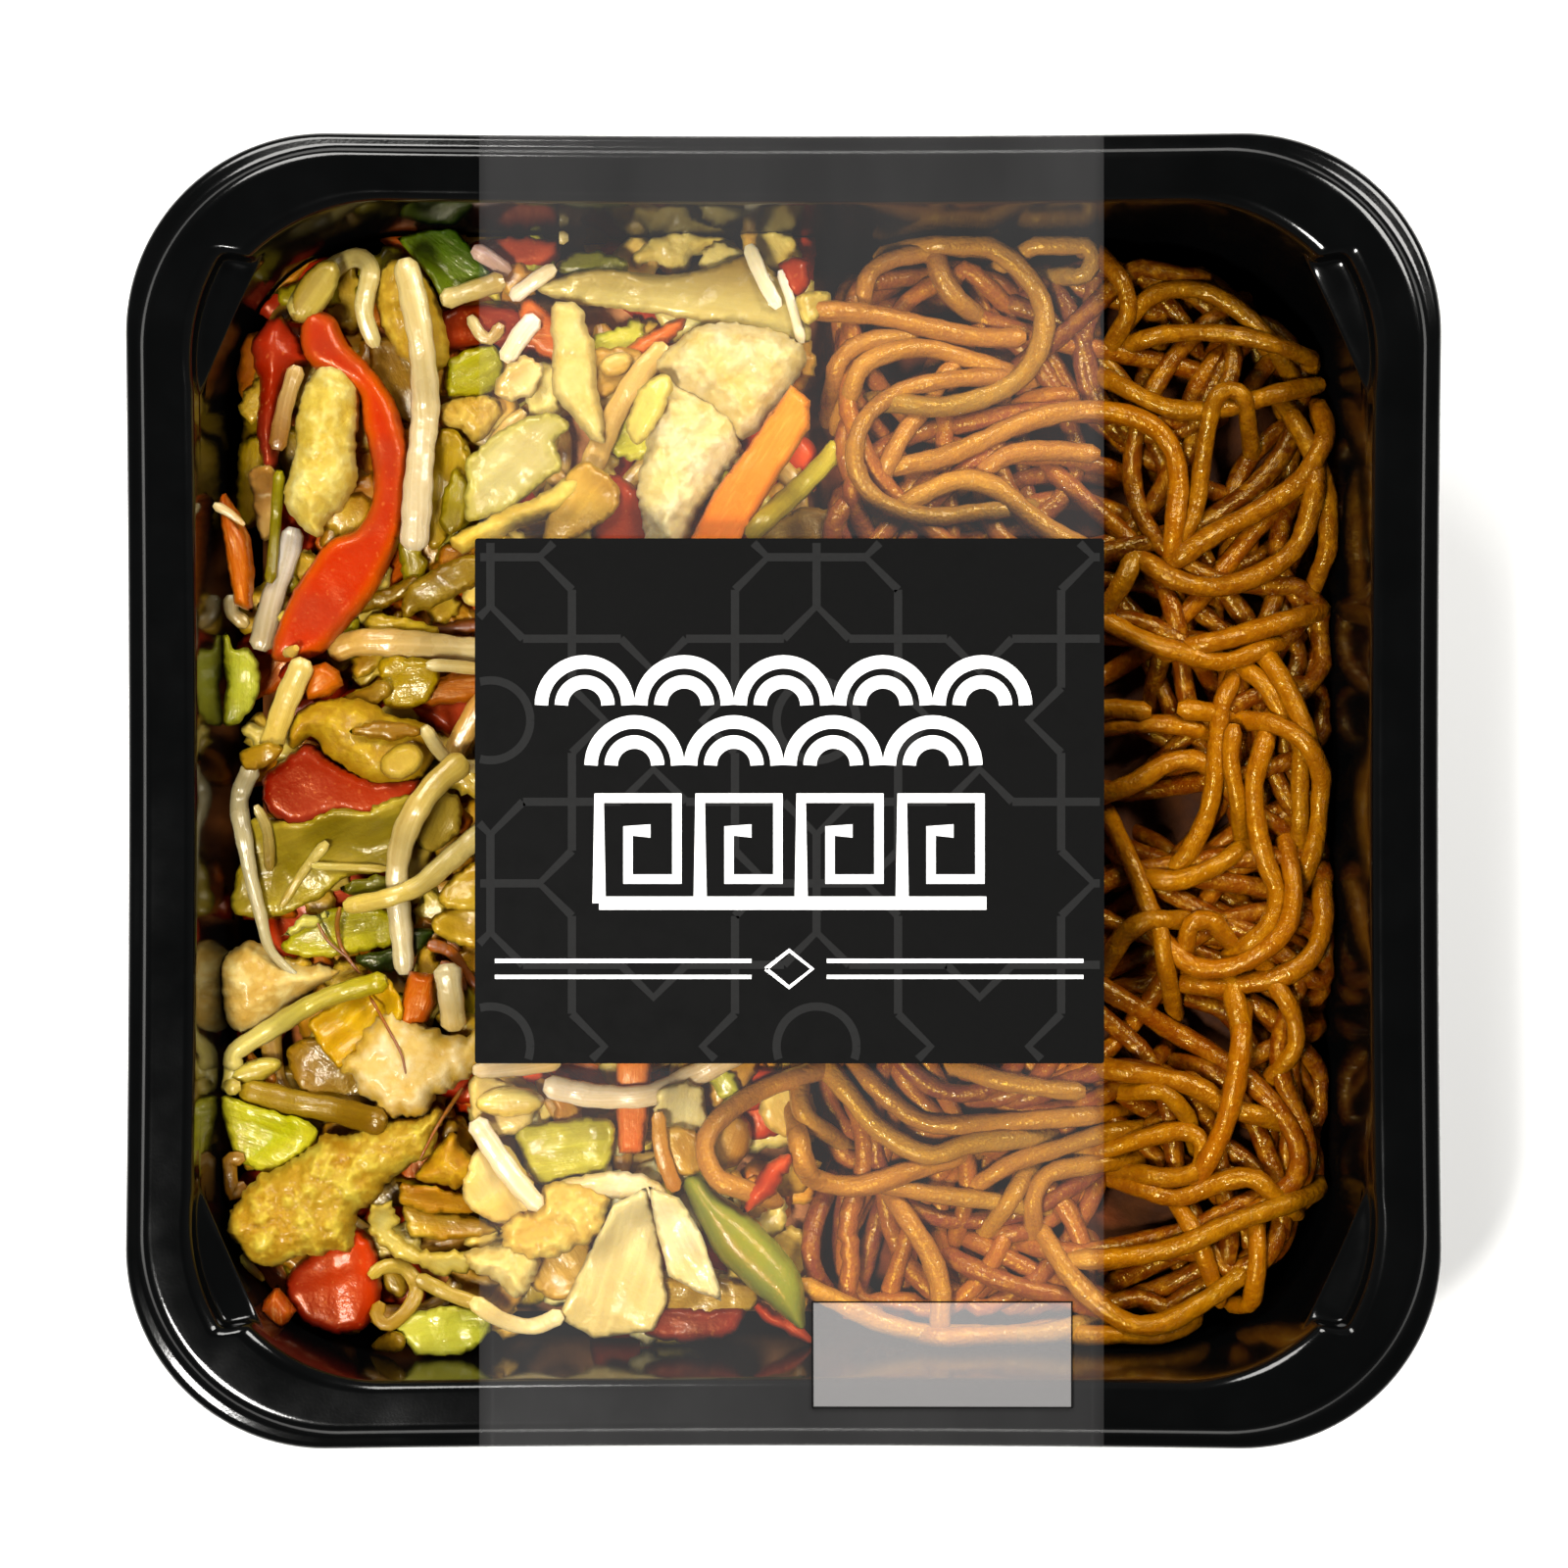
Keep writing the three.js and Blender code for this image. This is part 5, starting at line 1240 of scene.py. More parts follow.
def side_vegetables(leaf, chunk, bean, strand):
    """Along the left wall: onion leaf, peppers, sprouts and leek."""
    chunk("red_pepper", (134, 22, 3), (178, 48, 6), [
        -65, 1.8, -61.8, 4.5, -59.1, 5.9, -56.8, 4.1, -55, 3.2, -51.4, 1.6, -45.9, 1.6, -46, -1,
        -51.4, -3.6, -55.5, -3.2, -60.9, -4.6, -64.1, -3, -65.2, -0.5], node="red_pepper_3", edge=2,
        square=3, fade="long", lumpy=0.05)
    leaf("onion", (150, 120, 40), (112, 82, 22), [
        -54.5, 24, -50, 25.4, -46, 27, -46.4, 25.2, -50, 23, -54, 22.2])
    leaf("onion", (160, 134, 54), (124, 96, 30), [
        -47.7, 21.8, -47.3, 25, -43.6, 27.7, -38.2, 29.6, -36, 27, -41.4, 24.1, -43.6, 23, -45.5, 22.5],
        lift=0.5)
    leaf("cabbage", (212, 186, 76), (180, 146, 40), [
        -52.5, 20.5, -51.4, 22.3, -47.7, 21.6, -43.6, 20.6, -44, 18.6, -50, 18.6])
    chunk("red_pepper", (196, 62, 16), (150, 40, 10), [
        -47.3, 10.6, -43, 12, -38, 13.6, -36, 10, -39.6, 8.6, -41.1, 6.4, -44.1, 8], thick=3.4)
    chunk("carrot", (178, 96, 30), (206, 112, 30), [
        -48.6, 13, -44, 14, -38, 15, -37, 12, -44, 10.6], thick=2.4)
    strand("sprout", (222, 180, 110), (236, 216, 166), [
        -57, 17.6, -52.6, 18.6, -46, 18.2, -40, 17.6, -34, 17.2], 3.5, 3.7)
    chunk("shred", (176, 98, 18), (120, 58, 12), [
        -45.2, 19.6, -43.2, 20.9, -38.6, 21.9, -36, 21, -38.6, 19.7], thick=1.8, torn=0.5)
    leaf("cabbage", (206, 172, 34), (166, 140, 20), [
        -50.5, 16.4, -46.8, 16.8, -43.2, 15.9, -43, 14.1, -45, 10.9, -49.5, 10.5, -50.5, 14.5], lift=0.5)
    strand("sprout", (236, 216, 160), (228, 196, 130), [-44.6, 15.7, -41.5, 15.6, -36, 15], 1.6)
    leaf("onion", (172, 142, 66), (140, 104, 34), [-55.4, 11.6, -52, 13.2, -49.6, 14, -49, 12, -52, 10.6])
    chunk("carrot", (226, 122, 14), (196, 86, 10), [
        -60, 12.7, -59.3, 15.5, -57.3, 16.1, -55.5, 15, -55, 13.2, -56.8, 11.8, -59.5, 11.4],
        node="carrot_2", **CARROT_CUT)
    leaf("leek", (206, 214, 110), (176, 184, 60), [
        -70.7, 17.7, -70, 20, -69.2, 17.6, -67.5, 18, -65.9, 15.9, -65.9, 12.3, -68.2, 8.6, -70.7, 8.6,
        -70, 12.7], lift=0.6, fade="across")
    chunk("chicken", (224, 194, 66), (186, 142, 8), [
        -60, 10.5, -55.5, 11.6, -51.4, 11.1, -49.1, 9.5, -45, 8.6, -43.6, 6.8, -43.6, 4.5, -45.5, 1.4,
        -49.1, 0.2, -52.3, 0.9, -55, 2.7, -57.3, 4.5, -58.9, 6.6, -61.4, 5.2, -62, 7.3], node="chicken_3",
        crag=0.45)
    leaf("onion", (150, 108, 36), (184, 146, 60), [
        -54, 7.4, -51, 8.6, -47, 8.4, -44.6, 7.4, -47, 6.4, -51, 6.4], lift=0.1)
    bean("chicken", (200, 172, 80), (220, 192, 110), -47.4, 3.6, 5.6, 4.2, 25, thick=2.4)
    leaf("onion", (150, 134, 36), (186, 170, 80), [
        -66.2, -3.4, -64.1, -3.6, -60, -3.9, -55.5, -2.2, -51.4, -2.7, -50.9, -1.8, -45.9, -0.4,
        -46.8, -4.5, -48.6, -9.1, -49.5, -10, -55, -10.9, -57.7, -13.2, -63.6, -15.9, -66.4, -15.9,
        -69.5, -14.8, -68.6, -10.5, -67.3, -6.4], wave=0.7, lift=0.3)
    leaf("onion", (176, 152, 78), (200, 176, 104), [
        -45, -1, -41, -0.6, -40.7, -5, -44, -7.6, -46, -6], lift=0.2)
    strand("onion_strip", (206, 188, 124), (176, 152, 84), [
        -57, -6.4, -60, -10, -63, -14.6], 1.5, 1, lift=-0.2)
    strand("onion_strip", (212, 196, 130), (190, 168, 92), [-59, -9.4, -54, -9.6, -49.6, -9.8], 1)
    leaf("leek", (112, 114, 26), (80, 88, 20), [
        -55.5, -12.6, -53.2, -11, -49.1, -10.7, -47, -12, -49.1, -13.4], lift=0.2)
    leaf("leek", (168, 166, 30), (196, 190, 62), [
        -63.2, -19.5, -58.2, -15.5, -55, -14.8, -47.7, -15.5, -47, -18.2, -53.6, -20.5, -60, -20.9],
        lift=0.3, fade="across")
    leaf("leek", (26, 52, 22), (44, 70, 26), [
        -53.6, -20.9, -48.6, -19.6, -46.8, -17.3, -43.9, -17.7, -45.5, -20, -48.6, -22.7, -51.8, -22.7],
        lift=0.1)
    leaf("cabbage", (228, 222, 152), (196, 190, 92), [
        -63.4, -18.4, -60, -15.7, -56.8, -15.2, -58.2, -16.8, -61.8, -18.2], lift=0.6, torn=0.5, crisp=True)
    leaf("cabbage", (222, 184, 76), (190, 146, 40), [
        -44.1, -17.3, -42.3, -15, -37, -14.5, -36, -20, -41.4, -19], lift=0.3)
    leaf("cabbage", (228, 194, 90), (206, 164, 56), [
        -43, -13, -40, -9.6, -36, -9, -36, -14.4, -42, -14.8], lift=0.3)
    strand("sprout", (186, 176, 150), (206, 196, 160), [
        -66.4, 3.2, -68.2, -0.9, -67.5, -5.5, -66.6, -10.9, -65.5, -15.5, -64.3, -20, -60.9, -23.6], 2.8, 1,
        lift=0.2)
    strand("sprout", (190, 172, 120), (150, 126, 60), [-65.7, -1.8, -64.4, -5, -64.3, -10], 1.4)
    strand("sprout", (232, 208, 136), (226, 196, 108), [
        -59.5, 16.4, -62, 10.9, -64.1, 4.8], 3.1, 3.2, lift=0.2)
    leaf("onion", (196, 160, 60), (150, 110, 34), [
        -67.6, 4.6, -65, 5.8, -62, 5.6, -64, 3.2, -66.8, 2.6], lift=0.2)
    strand("sprout", (206, 198, 184), (196, 180, 150), [
        -61.4, 33, -62.4, 29, -64.1, 24.1, -65.7, 17.6], 2.9, 3.1, lift=0.2)
    strand("sprout", (226, 210, 168), (206, 176, 120), [-71.4, 24.6, -69.6, 22.6, -67.3, 20.7], 2)
    strand("egg", (240, 214, 120), (230, 200, 100), [-63.2, 21.4, -60.4, 23, -58, 25.6], 1.7, 2)
    strand("egg", (244, 222, 130), (236, 206, 110), [-57.4, 20.8, -56.8, 22, -54.8, 21.6], 1.7)
    strand("egg", (240, 210, 150), (232, 196, 120), [-62.6, 18.6, -61.6, 17.2, -60.6, 17.8], 1.6)
    strand("sprout", (228, 168, 104), (232, 190, 120), [-36, 13, -38.6, 9.6, -40.6, 6.2, -41.6, 4.4], 3)
    strand("sprout", (234, 216, 160), (226, 204, 150), [-44.6, 8, -42.6, 4.6, -40.5, 3.2, -36, 3], 1.8)
    strand("sprout", (220, 192, 110), (232, 218, 178), [
        -39.6, 4, -43.6, 0.5, -46.8, -4.5, -48.2, -9.1, -48.2, -13.6, -47.7, -19.1, -47.5, -23], 3.5, 2.7,
        lift=0.3)
    strand("sprout", (240, 220, 156), (226, 200, 112), [
        -36, -3.6, -38.6, -5.9, -42.3, -9.1, -45.5, -11.8, -49.5, -13.4, -55, -14.5], 3.2, 2.2, lift=0.2)
    strand("root", (186, 128, 34), (150, 84, 16), [
        -55.4, -14.6, -55.9, -17, -55.4, -19.8, -53.2, -23], 0.8, 0.4)
    strand("root", (176, 116, 30), (140, 80, 16), [-58.4, -16.6, -57, -19, -54.6, -21], 0.5, 0.3)
    strand("shred", (196, 110, 22), (150, 74, 14), [
        -44.6, -19.2, -42, -20, -40.4, -22, -38.6, -24.6], 1.7, 1.2, step=0.6)
    strand("shred", (170, 92, 18), (120, 60, 12), [-43, -21.6, -41, -22.6, -40, -25], 1.2, step=0.6)


def front_left_vegetables(leaf, chunk, bean, strand):
    """Front corner: the largest chicken pieces, cabbage, peppers and onion."""
    leaf("onion", (176, 140, 46), (140, 100, 28), [
        -62.4, -32.6, -58, -31, -54, -35, -50, -39, -54, -40.6, -60, -38])
    chunk("chicken", (250, 238, 196), (220, 178, 98), [
        -72.5, -21.8, -70, -20.2, -67.7, -19.1, -65.2, -19.3, -63.9, -20.5, -60, -21.4, -55.4, -22.4,
        -57.7, -24.7, -61.4, -26.5, -64.1, -28.8, -67, -30.4, -69.1, -30.4, -70.9, -28.4, -72.3, -24.7],
        node="chicken_4", crag=0.5, torn=0.4)
    chunk("carrot", (218, 112, 26), (196, 84, 16), [
        -46.8, -22.5, -43.6, -22.9, -43.4, -26.5, -44.5, -28.8, -48.2, -30, -47.7, -26.1], node="carrot_3",
        **CARROT_CUT)
    strand("sprout", (232, 218, 178), (222, 196, 140), [-42, -21.6, -41.6, -25, -41.2, -30], 3.7, 3.2)
    leaf("cabbage", (238, 196, 40), (214, 164, 16), [
        -59.3, -28.8, -55.9, -26.5, -52.3, -23.8, -49.5, -23.4, -48.2, -25.2, -47.7, -28.8, -52, -33,
        -55.4, -34.6, -58.6, -31.1], lift=0.8, pleat=0.35, spacing=0.45)
    chunk("chicken", (252, 236, 212), (238, 200, 96), [
        -54.6, -33, -52, -29.4, -48.8, -26.8, -46.4, -28.6, -43.6, -29.6, -40.5, -30.6, -38, -30.2,
        -37.4, -34.2, -42.3, -37.6, -44.6, -40, -48.4, -41.2, -51, -39.6, -53.6, -36.8, -55.6, -35],
        node="chicken_5", edge=2.8, fade="edge", crag=0.35, lumpy=0.1, torn=0.7)
    strand("leek", (176, 150, 56), (140, 108, 30), [-68.2, -37.5, -62, -39, -56, -40, -49.5, -41.5], 3.4)
    leaf("leek", (200, 206, 14), (214, 210, 84), [
        -70.7, -38.4, -64.1, -40.2, -59.5, -41.3, -58.4, -42.9, -60, -45.2, -63.6, -47.5, -66.1, -47.7,
        -68.6, -46.1, -69.8, -42.9], lift=0.8)
    strand("onion_strip", (160, 116, 48), (130, 86, 28), [
        -67.6, -46, -70, -46.6, -71.2, -49, -69.6, -50.8, -67.6, -49.4], 1.9)
    chunk("chicken", (234, 220, 120), (198, 152, 16), [
        -69.5, -53.4, -68.2, -51.1, -65.9, -48.4, -63.2, -47.2, -60.5, -45.4, -58.6, -44.3, -57.6, -43.1,
        -55, -43.1, -52.3, -42, -49.5, -41.3, -45.9, -40.6, -43.6, -39.5, -42.5, -40.4, -43.2, -42.5,
        -44.1, -45.6, -47.7, -47.5, -49.5, -49.3, -51.8, -52, -53.2, -52.9, -53.9, -56.5, -55, -57.9,
        -56.8, -57.6, -57.7, -58.4, -60.5, -58.4, -63.2, -59.5, -65.2, -59.7, -66.8, -58.8, -68.2, -57,
        -69.5, -55.6], node="chicken_6", crag=0.8, torn=0.5, spacing=0.42, edge=3.6)
    chunk("chicken", (232, 194, 60), (200, 142, 20), [
        -45, -46.5, -41.4, -42.5, -40.5, -44.7, -38.6, -45.9, -38.6, -47.5, -40, -49.7, -42.3, -49.5,
        -45.9, -48.4], node="chicken_7", crag=0.7, torn=0.4)
    leaf("onion", (226, 190, 96), (200, 150, 60), [
        -48.1, -51.6, -44.8, -52.6, -38.2, -53.6, -35.1, -55.1, -38.2, -56, -42.6, -56.5, -47, -56],
        thick=0.6, wave=0.15, lift=0.2, crisp=True)
    leaf("onion", (212, 160, 56), (186, 122, 34), [
        -48.3, -49, -43.4, -49.4, -39.9, -50.5, -35.3, -51.6, -39, -52.9, -44.8, -52.9, -48.1, -51.6],
        thick=0.6, wave=0.15, lift=0.4, crisp=True)
    chunk("red_pepper", (232, 70, 10), (124, 20, 8), [
        -58, -57, -62.2, -60.6, -62.4, -63.6, -60.4, -66.5, -57.3, -68.1, -54.5, -68.1, -51.8, -66.8,
        -50.5, -62.9, -51, -58, -53, -55, -55.6, -56], node="red_pepper_4", edge=2.2, fade="long", sag=2.5,
        square=2.8)
    chunk("carrot", (196, 90, 22), (168, 54, 14), [
        -66, -65, -63.4, -61.8, -60.9, -65, -63.2, -68.2], node="carrot_4", **CARROT_CUT)
    leaf("cabbage", (212, 212, 110), (184, 190, 84), [
        -48.6, -66.3, -45.9, -65.2, -41.4, -64.6, -37.3, -65, -36.4, -67.2, -38.6, -69.7, -42, -71.3,
        -45.5, -71.1, -47.3, -68.8], lift=2.4, fade="long", torn=0.3)
    leaf("onion", (140, 112, 40), (110, 82, 24), [-51.8, -69.7, -48.6, -67.5, -47.3, -69.3, -50, -70.9])
    strand("onion_strip", (206, 178, 96), (176, 138, 52), [
        -51.8, -60.8, -50, -59.6, -47.4, -60, -46, -62.6, -47.3, -65.2, -49.5, -66.8, -50.9, -65.6,
        -50.2, -64], 1.9)
    bean("onion", (176, 142, 60), (196, 160, 72), -49, -61.8, 4.6, 3, -60, thick=2)
    leaf("cabbage", (236, 222, 160), (216, 192, 110), [
        -51.8, -52.1, -48.7, -51.6, -48.1, -55.6, -45.2, -57.1, -41.7, -57.8, -38.2, -57.6, -38.2, -59.6,
        -41.7, -61.1, -44.8, -60.4, -47.9, -58.7, -50.5, -56.7, -51.8, -54.7], thick=1.4, lift=1, wave=0.5,
        torn=0.8, fade="edge", spacing=0.45)
    strand("onion_strip", (186, 160, 84), (206, 178, 104), [-46, -61, -42, -63, -37, -64.6], 2)
    strand("sprout", (226, 206, 110), (206, 170, 70), [-68.4, -58.4, -67.4, -60.4, -66.5, -62.4], 1.3, 1)
    strand("leek", (226, 214, 160), (186, 176, 20), [
        -71, -35, -68.6, -32.6, -64.5, -30, -57.7, -26.1, -49.5, -23.6], 2.6, 2.6, lift=0.5)
    strand("sprout", (222, 204, 120), (206, 186, 100), [-71.6, -34, -72.4, -35.6, -71, -37.2, -68, -37], 2)
    bean("sprout_head", (228, 212, 120), (196, 176, 80), -66.4, -35.2, 7, 2.9, 17)
    strand("root", (190, 110, 20), (160, 90, 16), [
        -51.8, -25.6, -49.6, -29, -47.6, -32.6, -47, -35.2], 0.4, 0.3)
    strand("root", (206, 140, 70), (170, 90, 30), [-40.2, -37.2, -43, -41.6, -45.2, -45.8], 0.6, 0.3)


def back_middle_vegetables(leaf, chunk, bean, strand):
    """Under the film, behind the label: cabbage, chicken and carrot."""
    chunk("red_pepper", (164, 62, 42), (120, 36, 24), [
        -23, 39, -19, 38.6, -16.6, 34, -17, 30, -24, 30], thick=3.4)
    chunk("carrot", (214, 112, 66), (176, 76, 40), [
        -32, 62, -23.2, 55, -18, 57, -12.3, 59.8, -14, 56.6, -20, 53.6, -29, 54, -33, 57], thick=2.4)
    bean("sprout_head", (206, 182, 112), (226, 204, 140), -23.6, 70.6, 8.4, 3.2, -2)
    strand("sprout", (196, 176, 116), (206, 182, 120), [-28.2, 70.4, -28, 72, -27, 72.8], 1.8)
    leaf("leek", (120, 124, 50), (92, 92, 36), [
        -28.4, 66.6, -24.5, 67.8, -20, 66.8, -20, 65, -25, 64.8, -28, 65], lift=0.4)
    leaf("cabbage", (198, 184, 126), (140, 112, 54), [
        -31, 63.2, -25, 65.2, -19.5, 65.2, -14.5, 64.8, -9.1, 65.7, -5, 67.5, -3.6, 67.7, -1.4, 65.2,
        0.9, 63.2, 3.6, 56.8, 0.9, 56.4, -2.7, 57.3, -8.2, 58.4, -14.5, 59.6, -20.9, 60.5, -27.3, 61.4],
        thick=1.6, lift=0.9, fade="across", torn=0.2)
    strand("onion_strip", (236, 222, 170), (240, 226, 180), [-4.4, 68.4, -2.6, 64, -0.6, 60.4], 1.9)
    strand("onion_strip", (240, 226, 180), (236, 220, 170), [-0.4, 65.2, 1, 61, 2.3, 56], 1.3)
    leaf("cabbage", (206, 186, 116), (176, 150, 80), [1.6, 61.8, 5.8, 62.6, 5.4, 60.4, 3, 58.4], lift=0.2)
    chunk("red_pepper", (176, 64, 46), (140, 44, 30), [-0.6, 66, 2.6, 66.8, 3.2, 63.6, 1, 62], thick=2.4)
    leaf("onion", (196, 160, 96), (160, 116, 60), [-25, 55, -20, 55.6, -17.4, 54, -21, 50, -25, 50])
    strand("onion_strip", (206, 172, 110), (180, 142, 84), [
        -14.6, 55.8, -18.6, 51.4, -21.8, 45.9, -24.5, 39.5, -28.2, 31.8, -30, 27], 2.8, 3.4)
    leaf("onion", (196, 160, 84), (160, 122, 56), [
        -28, 38, -24.6, 41, -20.4, 37.4, -22, 34, -27, 31, -30, 31], lift=0.1)
    bean("onion", (216, 190, 130), (196, 160, 96), -21, 53.4, 4.4, 3, 20, thick=2)
    leaf("cabbage", (190, 180, 130), (168, 160, 92), [
        -39.5, 41.4, -37.3, 43.6, -34.1, 45.9, -30, 47.3, -27.3, 46.4, -26.8, 45.5, -28.6, 43.6,
        -27.7, 40.5, -30.9, 38, -35, 34.9, -39.1, 33.6, -40, 35, -39.6, 38.6], lift=1.2, wave=0.8,
        fade="edge")
    chunk("chicken", (246, 228, 160), (232, 204, 116), [
        -18.6, 68.6, -15.5, 70.7, -12.3, 72, -10.5, 70.9, -7.3, 70, -5.9, 68.6, -10.9, 68, -11.8, 66.1,
        -14.5, 65.2, -16.4, 66.4, -18.6, 65.6, -19.6, 66.8], node="chicken_9", crag=0.7, torn=0.4)
    chunk("egg_strip", (244, 224, 140), (228, 194, 96), [
        -41.8, 31.4, -40, 32.7, -35.5, 35, -30.9, 36.8, -26.8, 39.3, -25, 38.6, -26.4, 35.5, -30.9, 33.6,
        -37.3, 31, -40, 29.6], node="chicken_10", crag=0.4, torn=0.3)
    strand("sprout", (236, 218, 170), (226, 204, 150), [-34.2, 61.8, -31, 64, -28.6, 65.6], 2)
    strand("sprout", (240, 224, 180), (232, 212, 160), [-30.9, 59.4, -33, 57, -35, 53.8], 2.6)
    chunk("egg_strip", (244, 230, 176), (236, 214, 150), [
        -29.1, 60.5, -26.8, 61.4, -25, 60, -24.5, 57.3, -23.6, 55.9, -23.4, 50.5, -22.7, 47.7, -22.3, 43.6,
        -24.1, 44.1, -26.4, 46.8, -28.6, 49.5, -29.1, 52.7, -28.9, 55.5], node="chicken_12", crag=0.25,
        torn=0.25, edge=1.6)
    leaf("cabbage", (226, 206, 150), (196, 166, 110), [
        -35.6, 52, -32, 54.6, -30, 52, -33, 49, -36, 49.6], lift=0.5, torn=0.5)
    # Painted light: this piece is painted paler to cancel the label's shadow that falls on it.
    chunk("chicken", (252, 242, 210), (244, 226, 170), [
        -17.7, 50, -15, 51.8, -11, 50, -6, 47, -5.5, 42.3, -7.3, 40, -8.6, 37.7, -10.9, 34.5, -12.7, 30,
        -16.8, 30, -18.2, 35.5, -18.2, 39.1, -17.3, 43.2], node="chicken_8", crag=0.8, torn=0.35,
        spacing=0.45)
    chunk("chicken", (246, 236, 204), (236, 212, 148), [
        -15.9, 52.7, -15.5, 54.3, -13.2, 56.6, -10.5, 58.2, -7.3, 58.6, -3.6, 58.2, 0, 57.3, 2.5, 55.5,
        2.7, 53.2, 0.5, 50, -1.8, 47.3, -3.2, 45, -6, 44, -9, 47, -13, 49.6], node="chicken_8", crag=0.8,
        torn=0.3, spacing=0.45)
    leaf("cabbage", (226, 210, 130), (206, 184, 100), [
        -19.6, 45.9, -17.7, 50, -15, 51.8, -13.8, 50, -16, 45, -18.4, 43], lift=0.8, thick=1.4)
    chunk("carrot", (244, 152, 72), (222, 116, 40), [
        0.9, 50.5, 3.4, 48.6, 3.2, 45, 0, 40, -3.6, 34.1, -5.6, 29, -12.7, 29, -8.6, 37.3, -4.1, 43.2],
        node="carrot_7", fade="long", **CARROT_CUT)
    leaf("onion", (150, 120, 58), (116, 84, 36), [
        -2.7, 32.3, 0.9, 35, 3.6, 35.7, 6.6, 35, 6.4, 32.7, 5, 30, -2.3, 30])
    strand("leek", (196, 182, 84), (150, 132, 46), [7.4, 43.6, 3, 39, -0.4, 35.6, -4.4, 31.4], 2.8)


